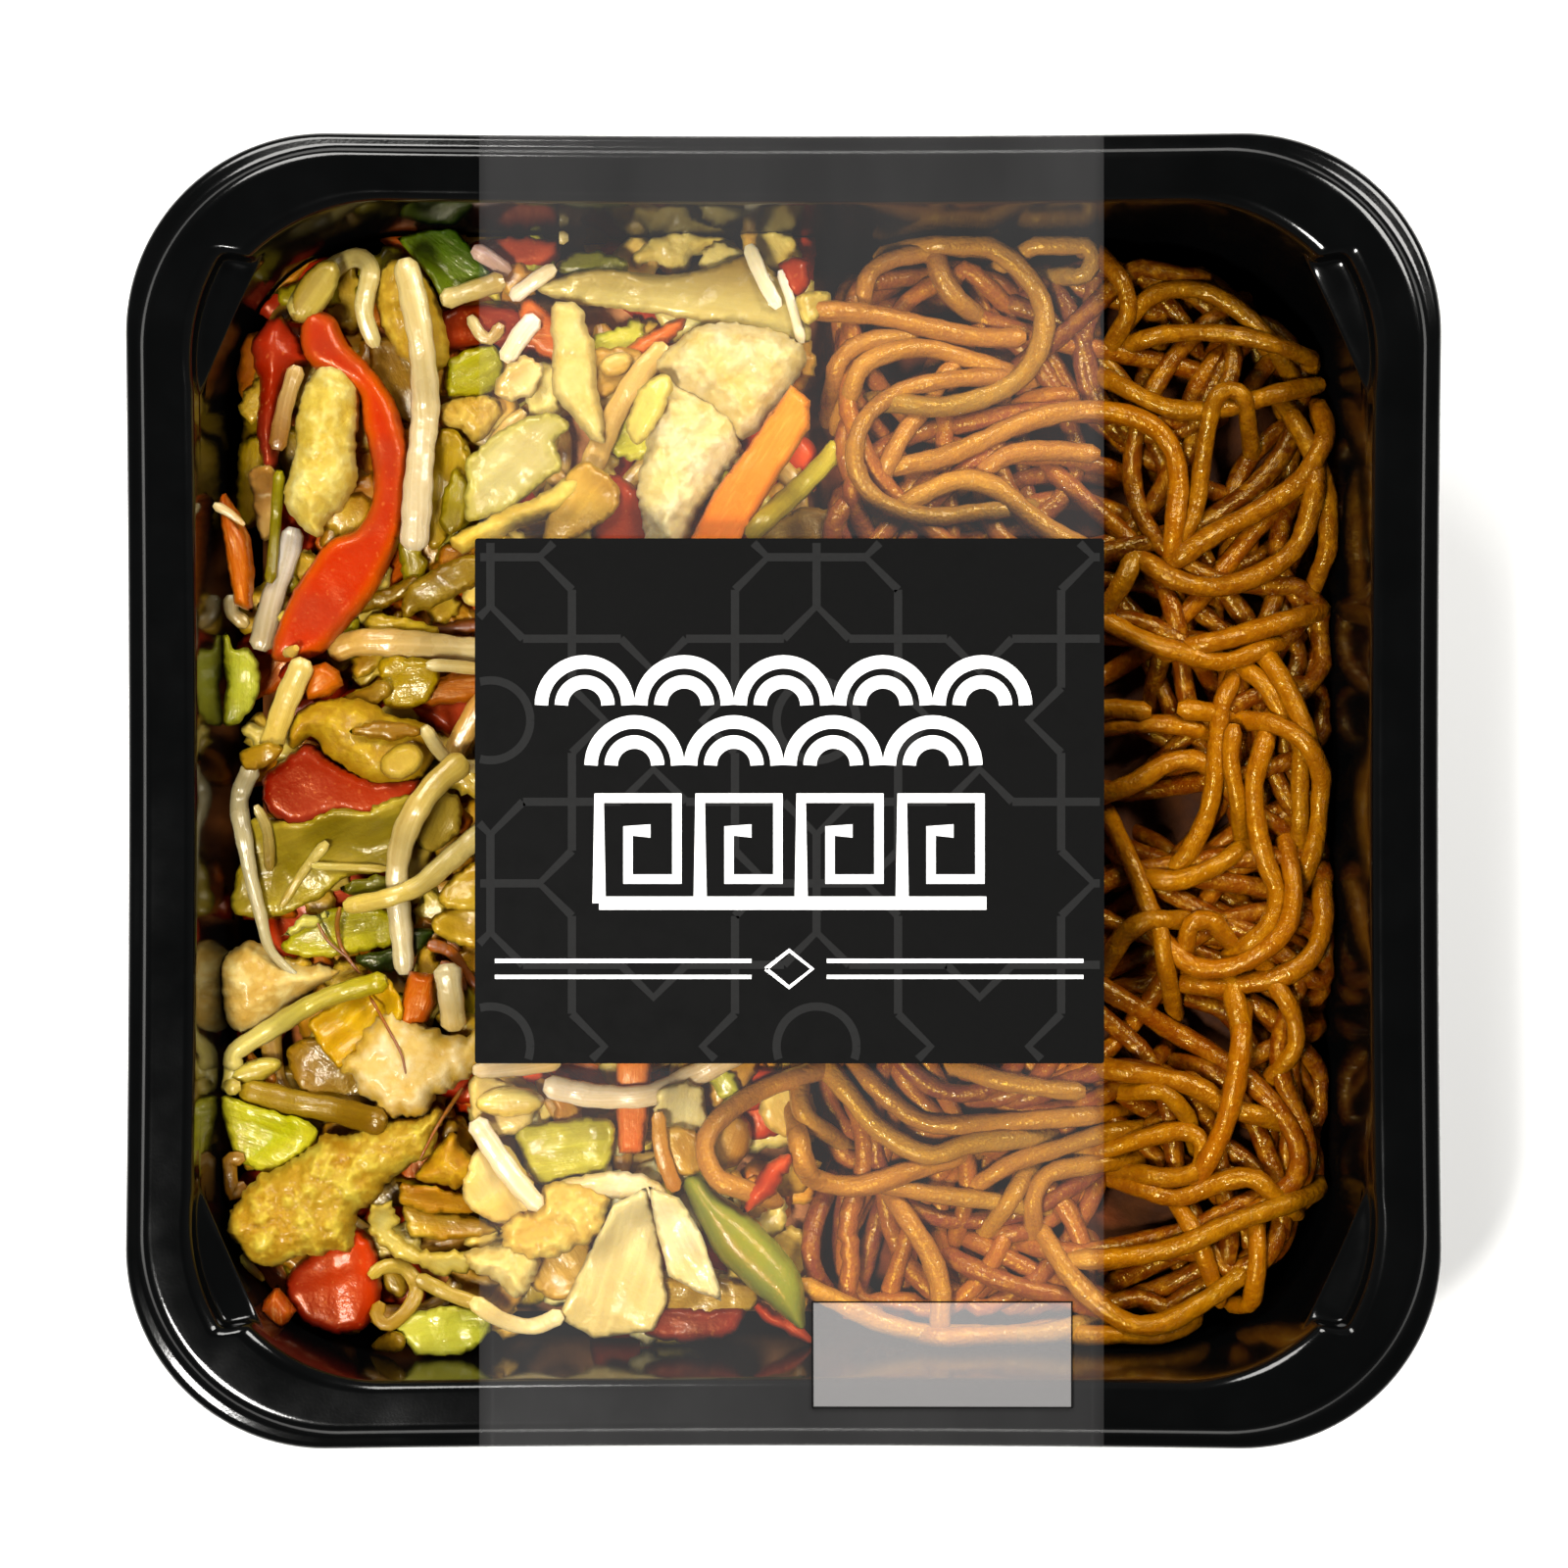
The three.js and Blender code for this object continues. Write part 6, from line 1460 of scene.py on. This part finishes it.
def front_middle_vegetables(leaf, chunk, bean, strand):
    """Under the film, in front of the label: cabbage, peppers and sprouts."""
    leaf("onion", (206, 168, 90), (176, 130, 60), [-31, -54, -25, -56, -24, -62, -29, -64, -33, -60])
    leaf("leek", (186, 152, 70), (156, 120, 50), [
        -15.5, -61.5, -9, -61, -3.5, -62.5, -4, -65.2, -10, -65.8, -15, -65])
    chunk("red_pepper", (110, 34, 24), (70, 18, 14), [
        -19, -65, -12, -65, -5, -65, -7, -68.6, -16, -69], thick=2.6)
    chunk("carrot", (240, 142, 84), (206, 100, 52), [
        -20.9, -33, -16.4, -33, -16.8, -40, -17.4, -45.4, -20.6, -45.4, -21, -40], node="carrot_5",
        fade="long", **CARROT_CUT)
    leaf("leek", (196, 190, 90), (166, 160, 62), [
        -33.6, -42.5, -29.5, -41.5, -21.8, -41.1, -21.4, -45.2, -22.7, -47.9, -26.8, -48.4, -30.5, -49.3,
        -32.3, -46.5], thick=1.2, lift=0.5)
    leaf("cabbage", (236, 214, 150), (216, 182, 106), [
        -39, -36, -34, -36.6, -31, -40, -34, -43, -38.4, -42], lift=0.4)
    leaf("cabbage", (236, 212, 146), (220, 184, 104), [
        -38.2, -44.7, -34.5, -44.6, -31.8, -48.4, -30.5, -51.5, -33.6, -53.8, -37.3, -53.4, -40, -50.4],
        thick=1.4, lift=0.6)
    strand("sprout", (236, 214, 160), (226, 190, 120), [-38.6, -34.8, -33, -34.6, -28, -34], 2.2)
    strand("sprout", (238, 218, 166), (226, 196, 140), [
        -30, -36.8, -26, -37.8, -22.7, -38.2, -16.4, -37.9, -10.9, -35.6, -5, -32.6], 3.1, 2.9, lift=0.2)
    bean("sprout_head", (236, 216, 130), (222, 190, 96), -34.2, -38.9, 8.6, 3.8, 2)
    leaf("cabbage", (240, 226, 166), (222, 190, 116), [
        -15.4, -37.5, -11, -36.5, -9.6, -40, -10, -46, -12.5, -49, -15.6, -48, -16, -42], lift=0.4,
        thick=1.2, torn=0.5)
    leaf("onion", (196, 158, 84), (170, 126, 60), [
        -14.6, -42, -11, -42.6, -10, -47, -13, -48, -15, -45], lift=0.2)
    bean("onion", (206, 160, 90), (170, 116, 50), -6.8, -44, 7.4, 5.4, 70, thick=4)
    strand("onion_strip", (186, 132, 62), (170, 110, 50), [-15.6, -40, -15.2, -45, -13.4, -50], 2)
    chunk("green_pepper", (150, 158, 78), (120, 120, 54), [
        -12.7, -48.8, -10.5, -47.9, -8.2, -50.2, -3.6, -53.8, 0, -57.5, 2.3, -61.1, 2.7, -65.6, 2.3, -67.5,
        -1.4, -64.7, -5.5, -61.1, -8.6, -57.9, -10.9, -53.4], node="green_pepper_1", edge=3.2, torn=0.08,
        fade="across")
    chunk("red_pepper", (214, 92, 66), (186, 62, 40), [
        -3.6, -64.3, -0.9, -65.6, 2.7, -67.9, 3.6, -70.2, 0.9, -68.8, -3, -66.4], node="red_pepper_7")
    chunk("red_pepper", (232, 104, 70), (206, 72, 44), [
        -5, -52.5, -4.1, -49.3, -1.4, -46.1, 0.9, -45.2, 0.5, -47.5, -1.4, -50.6, -3.6, -52],
        node="red_pepper_8")
    leaf("cabbage", (232, 216, 170), (206, 176, 120), [
        -30.5, -50.6, -26.4, -48.4, -20.9, -47.6, -16.4, -48.4, -14.4, -50.4, -17, -51.2, -20.9, -51,
        -26, -52, -29.6, -53], thick=2, lift=0.8)
    chunk("chicken", (244, 226, 150), (222, 176, 84), [
        -29.8, -49.3, -25.6, -48.8, -22.1, -50.7, -22.8, -55.3, -27, -57.7, -30.8, -58.6, -34.5, -57.7,
        -34.9, -53.9, -30.8, -52.1], thick=4, crag=0.9, torn=0.6)
    strand("sprout", (236, 218, 166), (232, 212, 156), [
        -38.5, -41, -36.3, -44.6, -33.5, -48.5, -30.3, -52], 3, 2.6)
    leaf("cabbage", (222, 204, 152), (206, 184, 130), [
        -21.2, -51.6, -17.2, -49.5, -15.8, -55.3, -14.9, -60.5, -14.6, -64.2, -16.3, -67.7, -23.8, -68.8,
        -28.4, -66, -25.2, -59.5, -22.8, -54.9], lift=0.8, wave=0.2, fade="long", torn=0.15, crisp=True)
    leaf("cabbage", (232, 216, 168), (216, 196, 142), [
        -16.9, -49.3, -13, -50.8, -10.3, -55.3, -8.2, -61.4, -7.8, -63.9, -11.2, -62.5, -14.4, -60.7,
        -15.8, -55.3], lift=1.2, wave=0.2, torn=0.12, crisp=True)
    chunk("chicken", (248, 234, 178), (236, 206, 130), [
        -40, -57.5, -36.4, -57.2, -34.1, -56.1, -31.4, -57, -30.5, -59.3, -31.8, -62, -33.2, -63.8,
        -35.5, -62, -38.2, -60.6, -40, -59.3], node="chicken_11", crag=0.9, torn=0.5)
    strand("onion_strip", (216, 192, 130), (226, 206, 150), [
        -39, -63.6, -35, -66.4, -31.4, -67.2, -27.7, -65.6], 2.2)


# Noodles

# Noodles on top, as they lie from below upwards, seen from above; CUT stands where an end shows
CUT = "cut"
NOODLES = [
    [10, 62.5, 11, 66, 14, 68, 19, 69, 23, 70],
    [6.5, 52, 7, 54.5, 10, 57, 16, 58, 19, 58],
    [8.5, 50.5, 10, 54, 14, 56, 19, 56.5, 24, 55, 29, 53.5],
    [30, 68.5, 33.5, 70.5, 37.5, 71, 39.5, 68.5, 38.5, 66, 36, 66],
    [44, 60, 46, 62.5, 49, 64, 53.5, 64, 57.5, 62, 61.5, 58.5, 64, 55],
    [45, 57.5, 49.5, 58.5, 56, 58.5, 61, 57.5, 66, 56],
    [41, 68, 43.5, 64.5, 44, 61, 42.5, 58],
    [13, 41, 15, 45, 17.5, 48.5, 20.5, 53, 22, 54.5],
    [25, 40.5, 29, 43, 34.5, 43.5, 40.5, 43, CUT],
    [68.5, 27.5, 70, 32.5, 69.5, 38.5, 68, 42.5, 65.5, 47.5],
    [19.5, 69, 20, 66, 22, 63, 24.5, 61],
    [5, 61, 12.5, 60.5, 19, 59, 25, 58, 31, 58, CUT],
    [14.5, 36, 21.5, 39.5, 26.5, 39, 30.5, 36, 34.5, 33, 38.5, 31],
    [42, 52.5, 47.5, 49.5, 52, 48.5, 57, 49, 62, 50.5, 66, 51.5],
    [50, 30.5, 52.5, 35.5, 53.5, 41.5, 54.2, 46.5, 55, 49.8, 56.8, 51.2, 58.8, 50.2, 59.4, 47.6],
    [15, 41.5, 20, 42.5, 25, 44.5, 30.5, 47, 36.5, 48.5, 41.5, 48.5, 46.5, 47, 49.5, 44, 50.5, 39.5,
    50, 34.5, 49.5, 30],
    [49.5, 29, 54.5, 32.5, 61, 36, 66, 39.5, 68.5, 43.5, 69.5, 46],
    [46, 29.5, 50, 27, 55, 26, 60.5, 27.5, 65.5, 31, 67.5, 36.5, 68, 40.5],
    [28.5, 53, 21.5, 52.5, 15, 51, 10.5, 47.5, 9, 42.5, 10.5, 38.5, 14, 36, 19, 35, 24, 35.5, 28.5, 36],
    [17, 71, 24, 70.5, 29.5, 67.5, 33, 62.5, 33, 57.5, 30.5, 53, 26, 50.5, 20, 49, 15, 49.5],
    [41, 8, 45, 8.5, 49.5, 8.5, 54.5, 7.5],
    [38.5, 10.5, 42.5, 10.5, 47, 10, CUT],
    [41, -0.5, 45, 1, 49, 3.5, 52.5, 4, 54.5, 3],
    [58.5, 16, 61.5, 13.5, 64, 9, 66, 6, 66, 1, 66, -6],
    [61.5, 17.5, 64.5, 12.5, 66.5, 7.5, 67.5, 4],
    [59, 9, 62.5, 8.5, 66, 6.5, 68.5, 2.5, 68.5, -1.5, 68, -6.5, 66.5, -11],
    [57.5, 14, 56, 11, 55.5, 6, 55, 1, 54, -3.5, 52, -7.5, 50, -10],
    [CUT, 57.5, 8.5, 57, 4, 58, -1, 58.5, -4.5],
    [CUT, 50.3, 10.6, 54.5, 10],
    [46, -11, 50, -11.5, 54.5, -10, 58.5, -7.5],
    [61.5, 6.5, 60, 1, 60.5, -5, 61.5, -9, 63, -13, 62, -17, 59.5, -19.5, 57.5, -21],
    [51.5, -24.5, 56, -25, 60, -24.5, 64, -23.5, 67.5, -21, 69, -17, 69, -14],
    [64.5, -8, 65, -13, 64, -17.5, 61, -20.5, 57, -22.5, 52.5, -22.5, 49.5, -20, 47.5, -18],
    [43, -6, 45, -10.5, 46.5, -14.5, 48, -17.5, 48.5, -21, 49.5, -25],
    [51.5, -19.5, 52, -17, 54.5, -16.5, 56, -18],
    [41.5, -22, 43.5, -18.5, 46.5, -16.5, 48.5, -16.5],
    [57.5, -26, 58.5, -30.5, 58.5, -34, 57.5, -37.5],
    [63, -25, 65, -28.5, 65.5, -32.5, 63.5, -35.5],
    [41, 22, 45.5, 19.5, 50, 18, 56, 16.5, 61, 18, 62.5, 18.5],
    [52.5, 18.5, 57, 19.5, 62, 21, 67, 22.5],
    [41, 23, 43, 26, 45, 30],
    [6.5, -65, 12.5, -68, 18.5, -69.5, 26.5, -70, 33, -69.5, 38, -68.5],
    [18.5, -70, 25, -72, 32, -72],
    [37.5, -70, 43, -69.5, 49.5, -70],
    [11, -50, 18.5, -51.5, 26.5, -52.5, 32, -53.5],
    [15, -53.5, 18.5, -59, 20, -63.5, 20, -68],
    [34, -58, 36, -61, 39.5, -65, 44, -68, 48.5, -68, 53.5, -65.5, 58.5, -62],
    [50.5, -53, 53, -57.5, 54.5, -61.5],
    [37.5, -60, 45, -59.5, 51, -58, 56.5, -55.5, 62, -53.5, 66.5, -52],
    [60, -65.5, 60.5, -60.5, 60.5, -57],
    [45, -50.5, 50.5, -52, 56, -50, 60, -49.5, 62.5, -51.5],
    [32, -55.5, 32, -52, 34, -49, 38.5, -48, 43, -47.5],
    [27.5, -54.5, 30.5, -50],
    [25.5, -50, 29.5, -47.5, 34.5, -46, 40.5, -44, 44.5, -43.5],
    [1.5, -42, 2.5, -47, 4, -49.5, 9.5, -50.5, 16.5, -48.5, 23, -46.5],
    [2, -36.5, 2.5, -41, 6, -44],
    [41, -35.5, 47.5, -36.5, 53, -38, 57, -40.5, 62.5, -42],
    [44.5, -38.5, 48.5, -38.5, 51.5, -41.5, 52, -43],
    [41, -46, 46, -44.5, 51, -43.5, 53.5, -45, 53, -48.5, 49.5, -49.5, 45.5, -49],
    [58.5, -30.5, 57.5, -38, 56, -43.5, 53.5, -48.5],
    [9.5, -35.5, 13.5, -39.5, 18.5, -42.5, 26.5, -42.5, 33.5, -42, 40.5, -41.5],
    [24, -36, 27.5, -37, 33.5, -38, 38.5, -38.5, CUT],
    [5.5, -35.5, 8.5, -39, 12.5, -43.5, 18.5, -46.5, 24, -45, 30.5, -44.5],
    [3.5, -36, -2.5, -38, -8, -41.5, -10, -45, -8.5, -49, -5, -50.5],
]


def loose_noodle():
    """A long noodle that winds round the heap."""
    x, y = DICE.uniform(8, 66), DICE.uniform(-66, 66)
    turn = math.atan2(y - 2, x - 38) + math.pi / 2 + DICE.normal(0, 0.6)
    bend = DICE.normal(0, 0.05)
    path = []
    for _ in range(int(DICE.uniform(26, 52))):
        path.append((x, y))
        bend = 0.9 * bend + DICE.normal(0, 0.022)
        turn += bend * 2.2
        x, y = x + 2.2 * math.cos(turn), y + 2.2 * math.sin(turn)
        past_side = x < 8 or x > 66 or abs(y) > 67
        if past_side or (x > 44 and abs(y) > 44 and math.hypot(x - 44, abs(y) - 44) > 24):
            home = math.atan2(-y, 38 - x)
            turn += 0.7 * math.sin(home - turn) + 0.15
            x, y = x + 0.1 * (38 - x) * 0.3, y - 0.03 * y
    return path


def far_painted_shade(path):
    """Painted shade: noodles towards the back are painted a little darker, and darkest in the back right
    corner by the wall, for the shade that falls there.
    """
    x, y = np.mean(path, axis=0)
    corner = smoothstep((x - 34) / 10) * smoothstep((y - 12) / 25)
    return np.interp(y, [20, 50], [1, 0.93]) * (1 - 0.14 * corner)


def in_hollows(path):
    """How many points of a path lie in the heap's hollows."""
    path = np.array(path)
    return sum((np.hypot(path[:, 0] - x, path[:, 1] - y) < radius).sum() for x, y, radius, _ in HOLLOWS)


def lay_noodles(meal):
    bed = meal.bed
    for n in range(LOOSE_NOODLES):
        tries = [loose_noodle() for _ in range(9)]
        best = min(tries, key=lambda path: np.mean(bed.at(np.array(path))) + 0.25 * in_hollows(path))
        # Partly painted shade: loose noodles lie low in the heap and get darker, redder tints than those on
        # top, partly their own sauce-soaked colour and partly the shade deep in the heap.
        warm = DICE.uniform(0, 1)
        first = np.array([148 - 44 * warm, 75 - 32 * warm, 4]) * far_painted_shade(best)
        meal.strand("noodle", first, first, np.array(best) / SPREAD, DICE.uniform(2.4, 2.7), step=1.4,
                    sink=0.75, stiff=3, level=0, dive=(5, 5), painted_film_haze=LOOSE_PAINTED_FILM_HAZE)
    for places in NOODLES:
        path = list(np.reshape([v for v in places if v != CUT], (-1, 2)))
        dive = [0, 0]
        if places[0] != CUT:
            away = path[0] - path[1]
            path.insert(0, path[0] + away / np.linalg.norm(away) * 5)
            dive[0] = 6.0
        if places[-1] != CUT:
            away = path[-1] - path[-2]
            path.append(path[-1] + away / np.linalg.norm(away) * 5)
            dive[1] = 6.0
        warm = DICE.uniform(0, 1)
        first = np.array([192 - 24 * warm, 124 - 26 * warm, 4]) * far_painted_shade(path)
        second = np.array([183 - 28 * DICE.uniform(0, 1), 106, 4]) * far_painted_shade(path)
        width = NOODLE_WIDTH * DICE.uniform(0.9, 1.08)
        meal.strand("noodle", first, second, np.array(path) / SPREAD, width, step=1.1, sink=0.35, dive=dive,
                    level=24, painted_film_haze=TOP_PAINTED_FILM_HAZE)


def sauce_mesh(bed):
    """The bottom of the heap, below everything that shows: near black-brown among the noodles as painted
    shade for the deep gaps between them, warm red among the vegetables, and painted lighter below the film
    for the film's milky haze.
    """
    half, corner, number = 67.5, 21.0, 120
    angle = np.linspace(0, 2 * math.pi, number, endpoint=False)
    rim = np.c_[np.cos(angle), np.sin(angle)]
    reach = np.array([square_reach(a, half, corner) for a in angle])
    points, faces = [], []
    shares = np.linspace(0.04, 1, 26)
    for share in shares:
        flat = rim * (reach * share)[:, None]
        points.append(np.c_[flat, bed.at(flat) - 1.2])
    points.append(np.c_[rim * (reach - 1.5)[:, None], np.full(number, 3.4)])
    middle_top = [[0, 0, float(bed.at(np.zeros((1, 2)))[0]) - 1.2]]
    points += [middle_top, [[0, 0, 3.4]]]
    for level in range(len(shares)):
        for i in range(number):
            j = (i + 1) % number
            low, high = level * number, (level + 1) * number
            faces.append((low + i, high + i, high + j, low + j))
    up, down, last = (len(shares) + 1) * number, (len(shares) + 1) * number + 1, len(shares) * number
    for i in range(number):
        j = (i + 1) % number
        faces.append((up, i, j))
        faces.append((down, last + j, last + i))
    points = np.vstack(points)
    among_noodles = smoothstep((points[:, :1] + 2) / 8)
    # Painted light: below the film the sauce is lighter, for the film's milky haze; among the noodles its
    # dark brown is painted shade.
    under_painted_haze = (points[:, :1] > BAND_LEFT) & (points[:, :1] < BAND_RIGHT)
    reddish = np.where(under_painted_haze, (0.95, 0.4, 0.13), (0.5, 0.15, 0.03))
    gap_shade_brown = np.where(under_painted_haze, (0.2, 0.045, 0.01), (0.06, 0.018, 0.004))
    return mesh_of("sauce", points, faces, reddish * (1 - among_noodles) + gap_shade_brown * among_noodles)


def square_reach(angle, half, corner):
    """Distance from the middle to a rounded square's edge."""
    low, high = 0.0, 2 * half
    for _ in range(30):
        middle = 0.5 * (low + high)
        x, y = abs(middle * math.cos(angle)), abs(middle * math.sin(angle))
        dx, dy = max(x - half + corner, 0), max(y - half + corner, 0)
        inside = math.hypot(dx, dy) < corner if dx > 0 and dy > 0 else max(x, y) < half
        low, high = (middle, high) if inside else (low, middle)
    return low


# Making it all

def nodes_named(start):
    return sorted(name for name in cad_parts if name.startswith(start + "_"))


def make_tray():
    show("tray_shell", tray_mesh(), tray_plastic(), "tray", ["tray"])


def make_band():
    show("film_band", band_mesh(), film_plastic(), "band", ["band"])
    black = printed("label black", (0.0014, 0.0014, 0.0014), (0.002, 0.002, 0.002))
    label = sheet_mesh("label", LABEL_LEFT, LABEL_RIGHT, LABEL_FRONT, LABEL_BACK, LABEL_LOW, LABEL_TOP, 0.4)
    show("label_sheet", label, black, "label", ["label"], smooth=False)
    ribbons = ribbon_tree()
    grey = printed("lattice grey", (0.0098, 0.0098, 0.0098), (0.0128, 0.0128, 0.0128))
    white = printed("print white", (0.86, 0.86, 0.86), (0.93, 0.93, 0.93))
    lattice = lattice_lines(LABEL_TOP + 0.02).mesh("lattice", ribbons, LATTICE_LINE, grey)
    show("label_lattice", lattice, None, "label", smooth=False)
    ornament = ornament_lines(LABEL_TOP + 0.06).mesh("ornament", ribbons, ORNAMENT_LINE, white)
    show("label_ornament", ornament, None, "label", smooth=False)
    rule = rule_lines(LABEL_TOP + 0.06).mesh("rule", ribbons, RULE_LINE, white)
    show("label_rule", rule, None, "label", smooth=False)
    milky = printed("date panel", (0.88, 0.86, 0.87), (0.95, 0.93, 0.94), alpha=0.077)
    panel = sheet_mesh("panel", PANEL_LEFT, PANEL_RIGHT, PANEL_FRONT, PANEL_BACK, BAND_TOP + 0.02,
                       BAND_TOP + 0.06, 0.2)
    show("date_panel", panel, milky, "band", smooth=False)
    edge = Print(BAND_TOP + 0.1)
    edge.line([(PANEL_LEFT, PANEL_FRONT), (PANEL_RIGHT, PANEL_FRONT), (PANEL_RIGHT, PANEL_BACK),
               (PANEL_LEFT, PANEL_BACK), (PANEL_LEFT, PANEL_FRONT)])
    outline = edge.mesh("panel_outline", ribbons, PANEL_LINE, black)
    show("date_panel_outline", outline, None, "label", smooth=False)


def make_food():
    meal = Meal()
    strands = strand_tree()
    show("sauce_below", sauce_mesh(meal.bed), dark_sauce_and_shade(), "vegetables")
    hidden_vegetables(meal)
    for lay_area in (side_vegetables, back_left_vegetables, front_left_vegetables, back_middle_vegetables,
                     front_middle_vegetables):
        lay_area(meal.leaf, meal.chunk, meal.bean, meal.strand)
    lay_noodles(meal)
    cabbage = leaf_flesh("pale cabbage", 0.35)
    leek = leaf_flesh("green leek", 0.6)
    onion = leaf_flesh("cooked onion", 0.5)
    forms = {
        "cabbage": (cabbage, "vegetables", ["vegetables"]),
        "leek": (leek, "vegetables", []),
        "onion": (onion, "vegetables", []),
        "chicken": (chicken_crust(), "chicken", [f"chicken_{n}" for n in (1, 2, 3, 4, 5, 6, 7, 8, 9, 11)]),
        "egg_strip": (chicken_crust(), "chicken", ["chicken_10", "chicken_12"]),
        "red_pepper": (pepper_skin("red pepper skin", (0.2, 0.018, 0.006)), "red_pepper",
                       nodes_named("red_pepper")),
        "green_pepper": (pepper_skin("green pepper skin", (0.12, 0.14, 0.03)), "green_pepper",
                         nodes_named("green_pepper")),
        "carrot": (carrot_flesh(), "carrot", nodes_named("carrot")),
        "sprout_head": (sprout_flesh(), "sprout", []),
        "shred": (fried_shred(), "vegetables", []),
    }
    for kind, (finish, slot, nodes) in forms.items():
        show(kind + "_pieces", meal.form(kind).mesh(kind), finish, slot, nodes)
    lines = {
        "noodle": (noodle_gloss(), "noodles", ["noodles"], 10, 1.0),
        "sprout": (sprout_flesh(), "sprout", nodes_named("sprout"), 16, 0.68),
        "leek": (leek, "vegetables", [], 12, 0.8),
        "onion_strip": (cabbage, "vegetables", [], 16, 0.42),
        "egg": (chicken_crust(), "chicken", [], 10, 0.9),
        "root": (fried_shred(), "vegetables", [], 6, 1.0),
        "shred": (fried_shred(), "vegetables", [], 8, 0.6),
    }
    for kind, (finish, slot, nodes, sides, flat) in lines.items():
        made = meal.strands(kind).mesh(kind, strands, sides, flat, finish)
        show(kind + "_strands", made, None, slot, nodes)


def area_light(name, place, size, power):
    lamp = bpy.data.lights.new(name, "AREA")
    lamp.shape, lamp.size = "DISK", size * MM
    lamp.energy, lamp.color = power, LIGHT_TINT
    light = bpy.data.objects.new(name, lamp)
    bpy.context.scene.collection.objects.link(light)
    light.location = Vector(place) * MM
    light.rotation_euler = (-light.location).to_track_quat("-Z", "Y").to_euler()


def make_studio():
    scene = bpy.context.scene
    scene.view_settings.view_transform = "Standard"
    camera = bpy.data.cameras.new("camera")
    camera.lens, camera.sensor_width = 128.6, 36.0
    camera.clip_start, camera.clip_end = 0.01, 20
    eye = bpy.data.objects.new("camera", camera)
    scene.collection.objects.link(eye)
    eye.location = Vector((0.06, 0.86, RIM_TOP + EYE)) * MM
    scene.camera = eye
    floor = bpy.data.objects.new("floor", bpy.data.meshes.new("floor"))
    reach = 2.5
    corners = [(-reach, -reach, 0), (reach, -reach, 0), (reach, reach, 0), (-reach, reach, 0)]
    floor.data.from_pydata(corners, [], [(0, 1, 2, 3)])
    scene.collection.objects.link(floor)
    pale = Finish("pale floor")
    pale.base(pale.blend(pale.speckle(3), (0.96, 0.96, 0.96), (0.985, 0.985, 0.985)))
    floor.data.materials.append(pale.set(Roughness=0.9).material)
    for name, (place, size, power) in LIGHTS.items():
        area_light(name, place, size, power)
    world = bpy.data.worlds.new("studio")
    scene.world = world
    world.use_nodes = True
    nodes, links = world.node_tree.nodes, world.node_tree.links
    place = nodes.new("ShaderNodeTexCoord")
    split = nodes.new("ShaderNodeSeparateXYZ")
    fall = nodes.new("ShaderNodeMapRange")
    for name, value in (("From Min", 0.0), ("From Max", 0.9), ("To Min", 0.2), ("To Max", 0.03)):
        fall.inputs[name].default_value = value
    links.new(place.outputs["Generated"], split.inputs["Vector"])
    links.new(split.outputs["Z"], fall.inputs["Value"])
    links.new(fall.outputs["Result"], nodes["Background"].inputs["Color"])


make_studio()
make_tray()
make_band()
make_food()

bpy.context.view_layer.update()
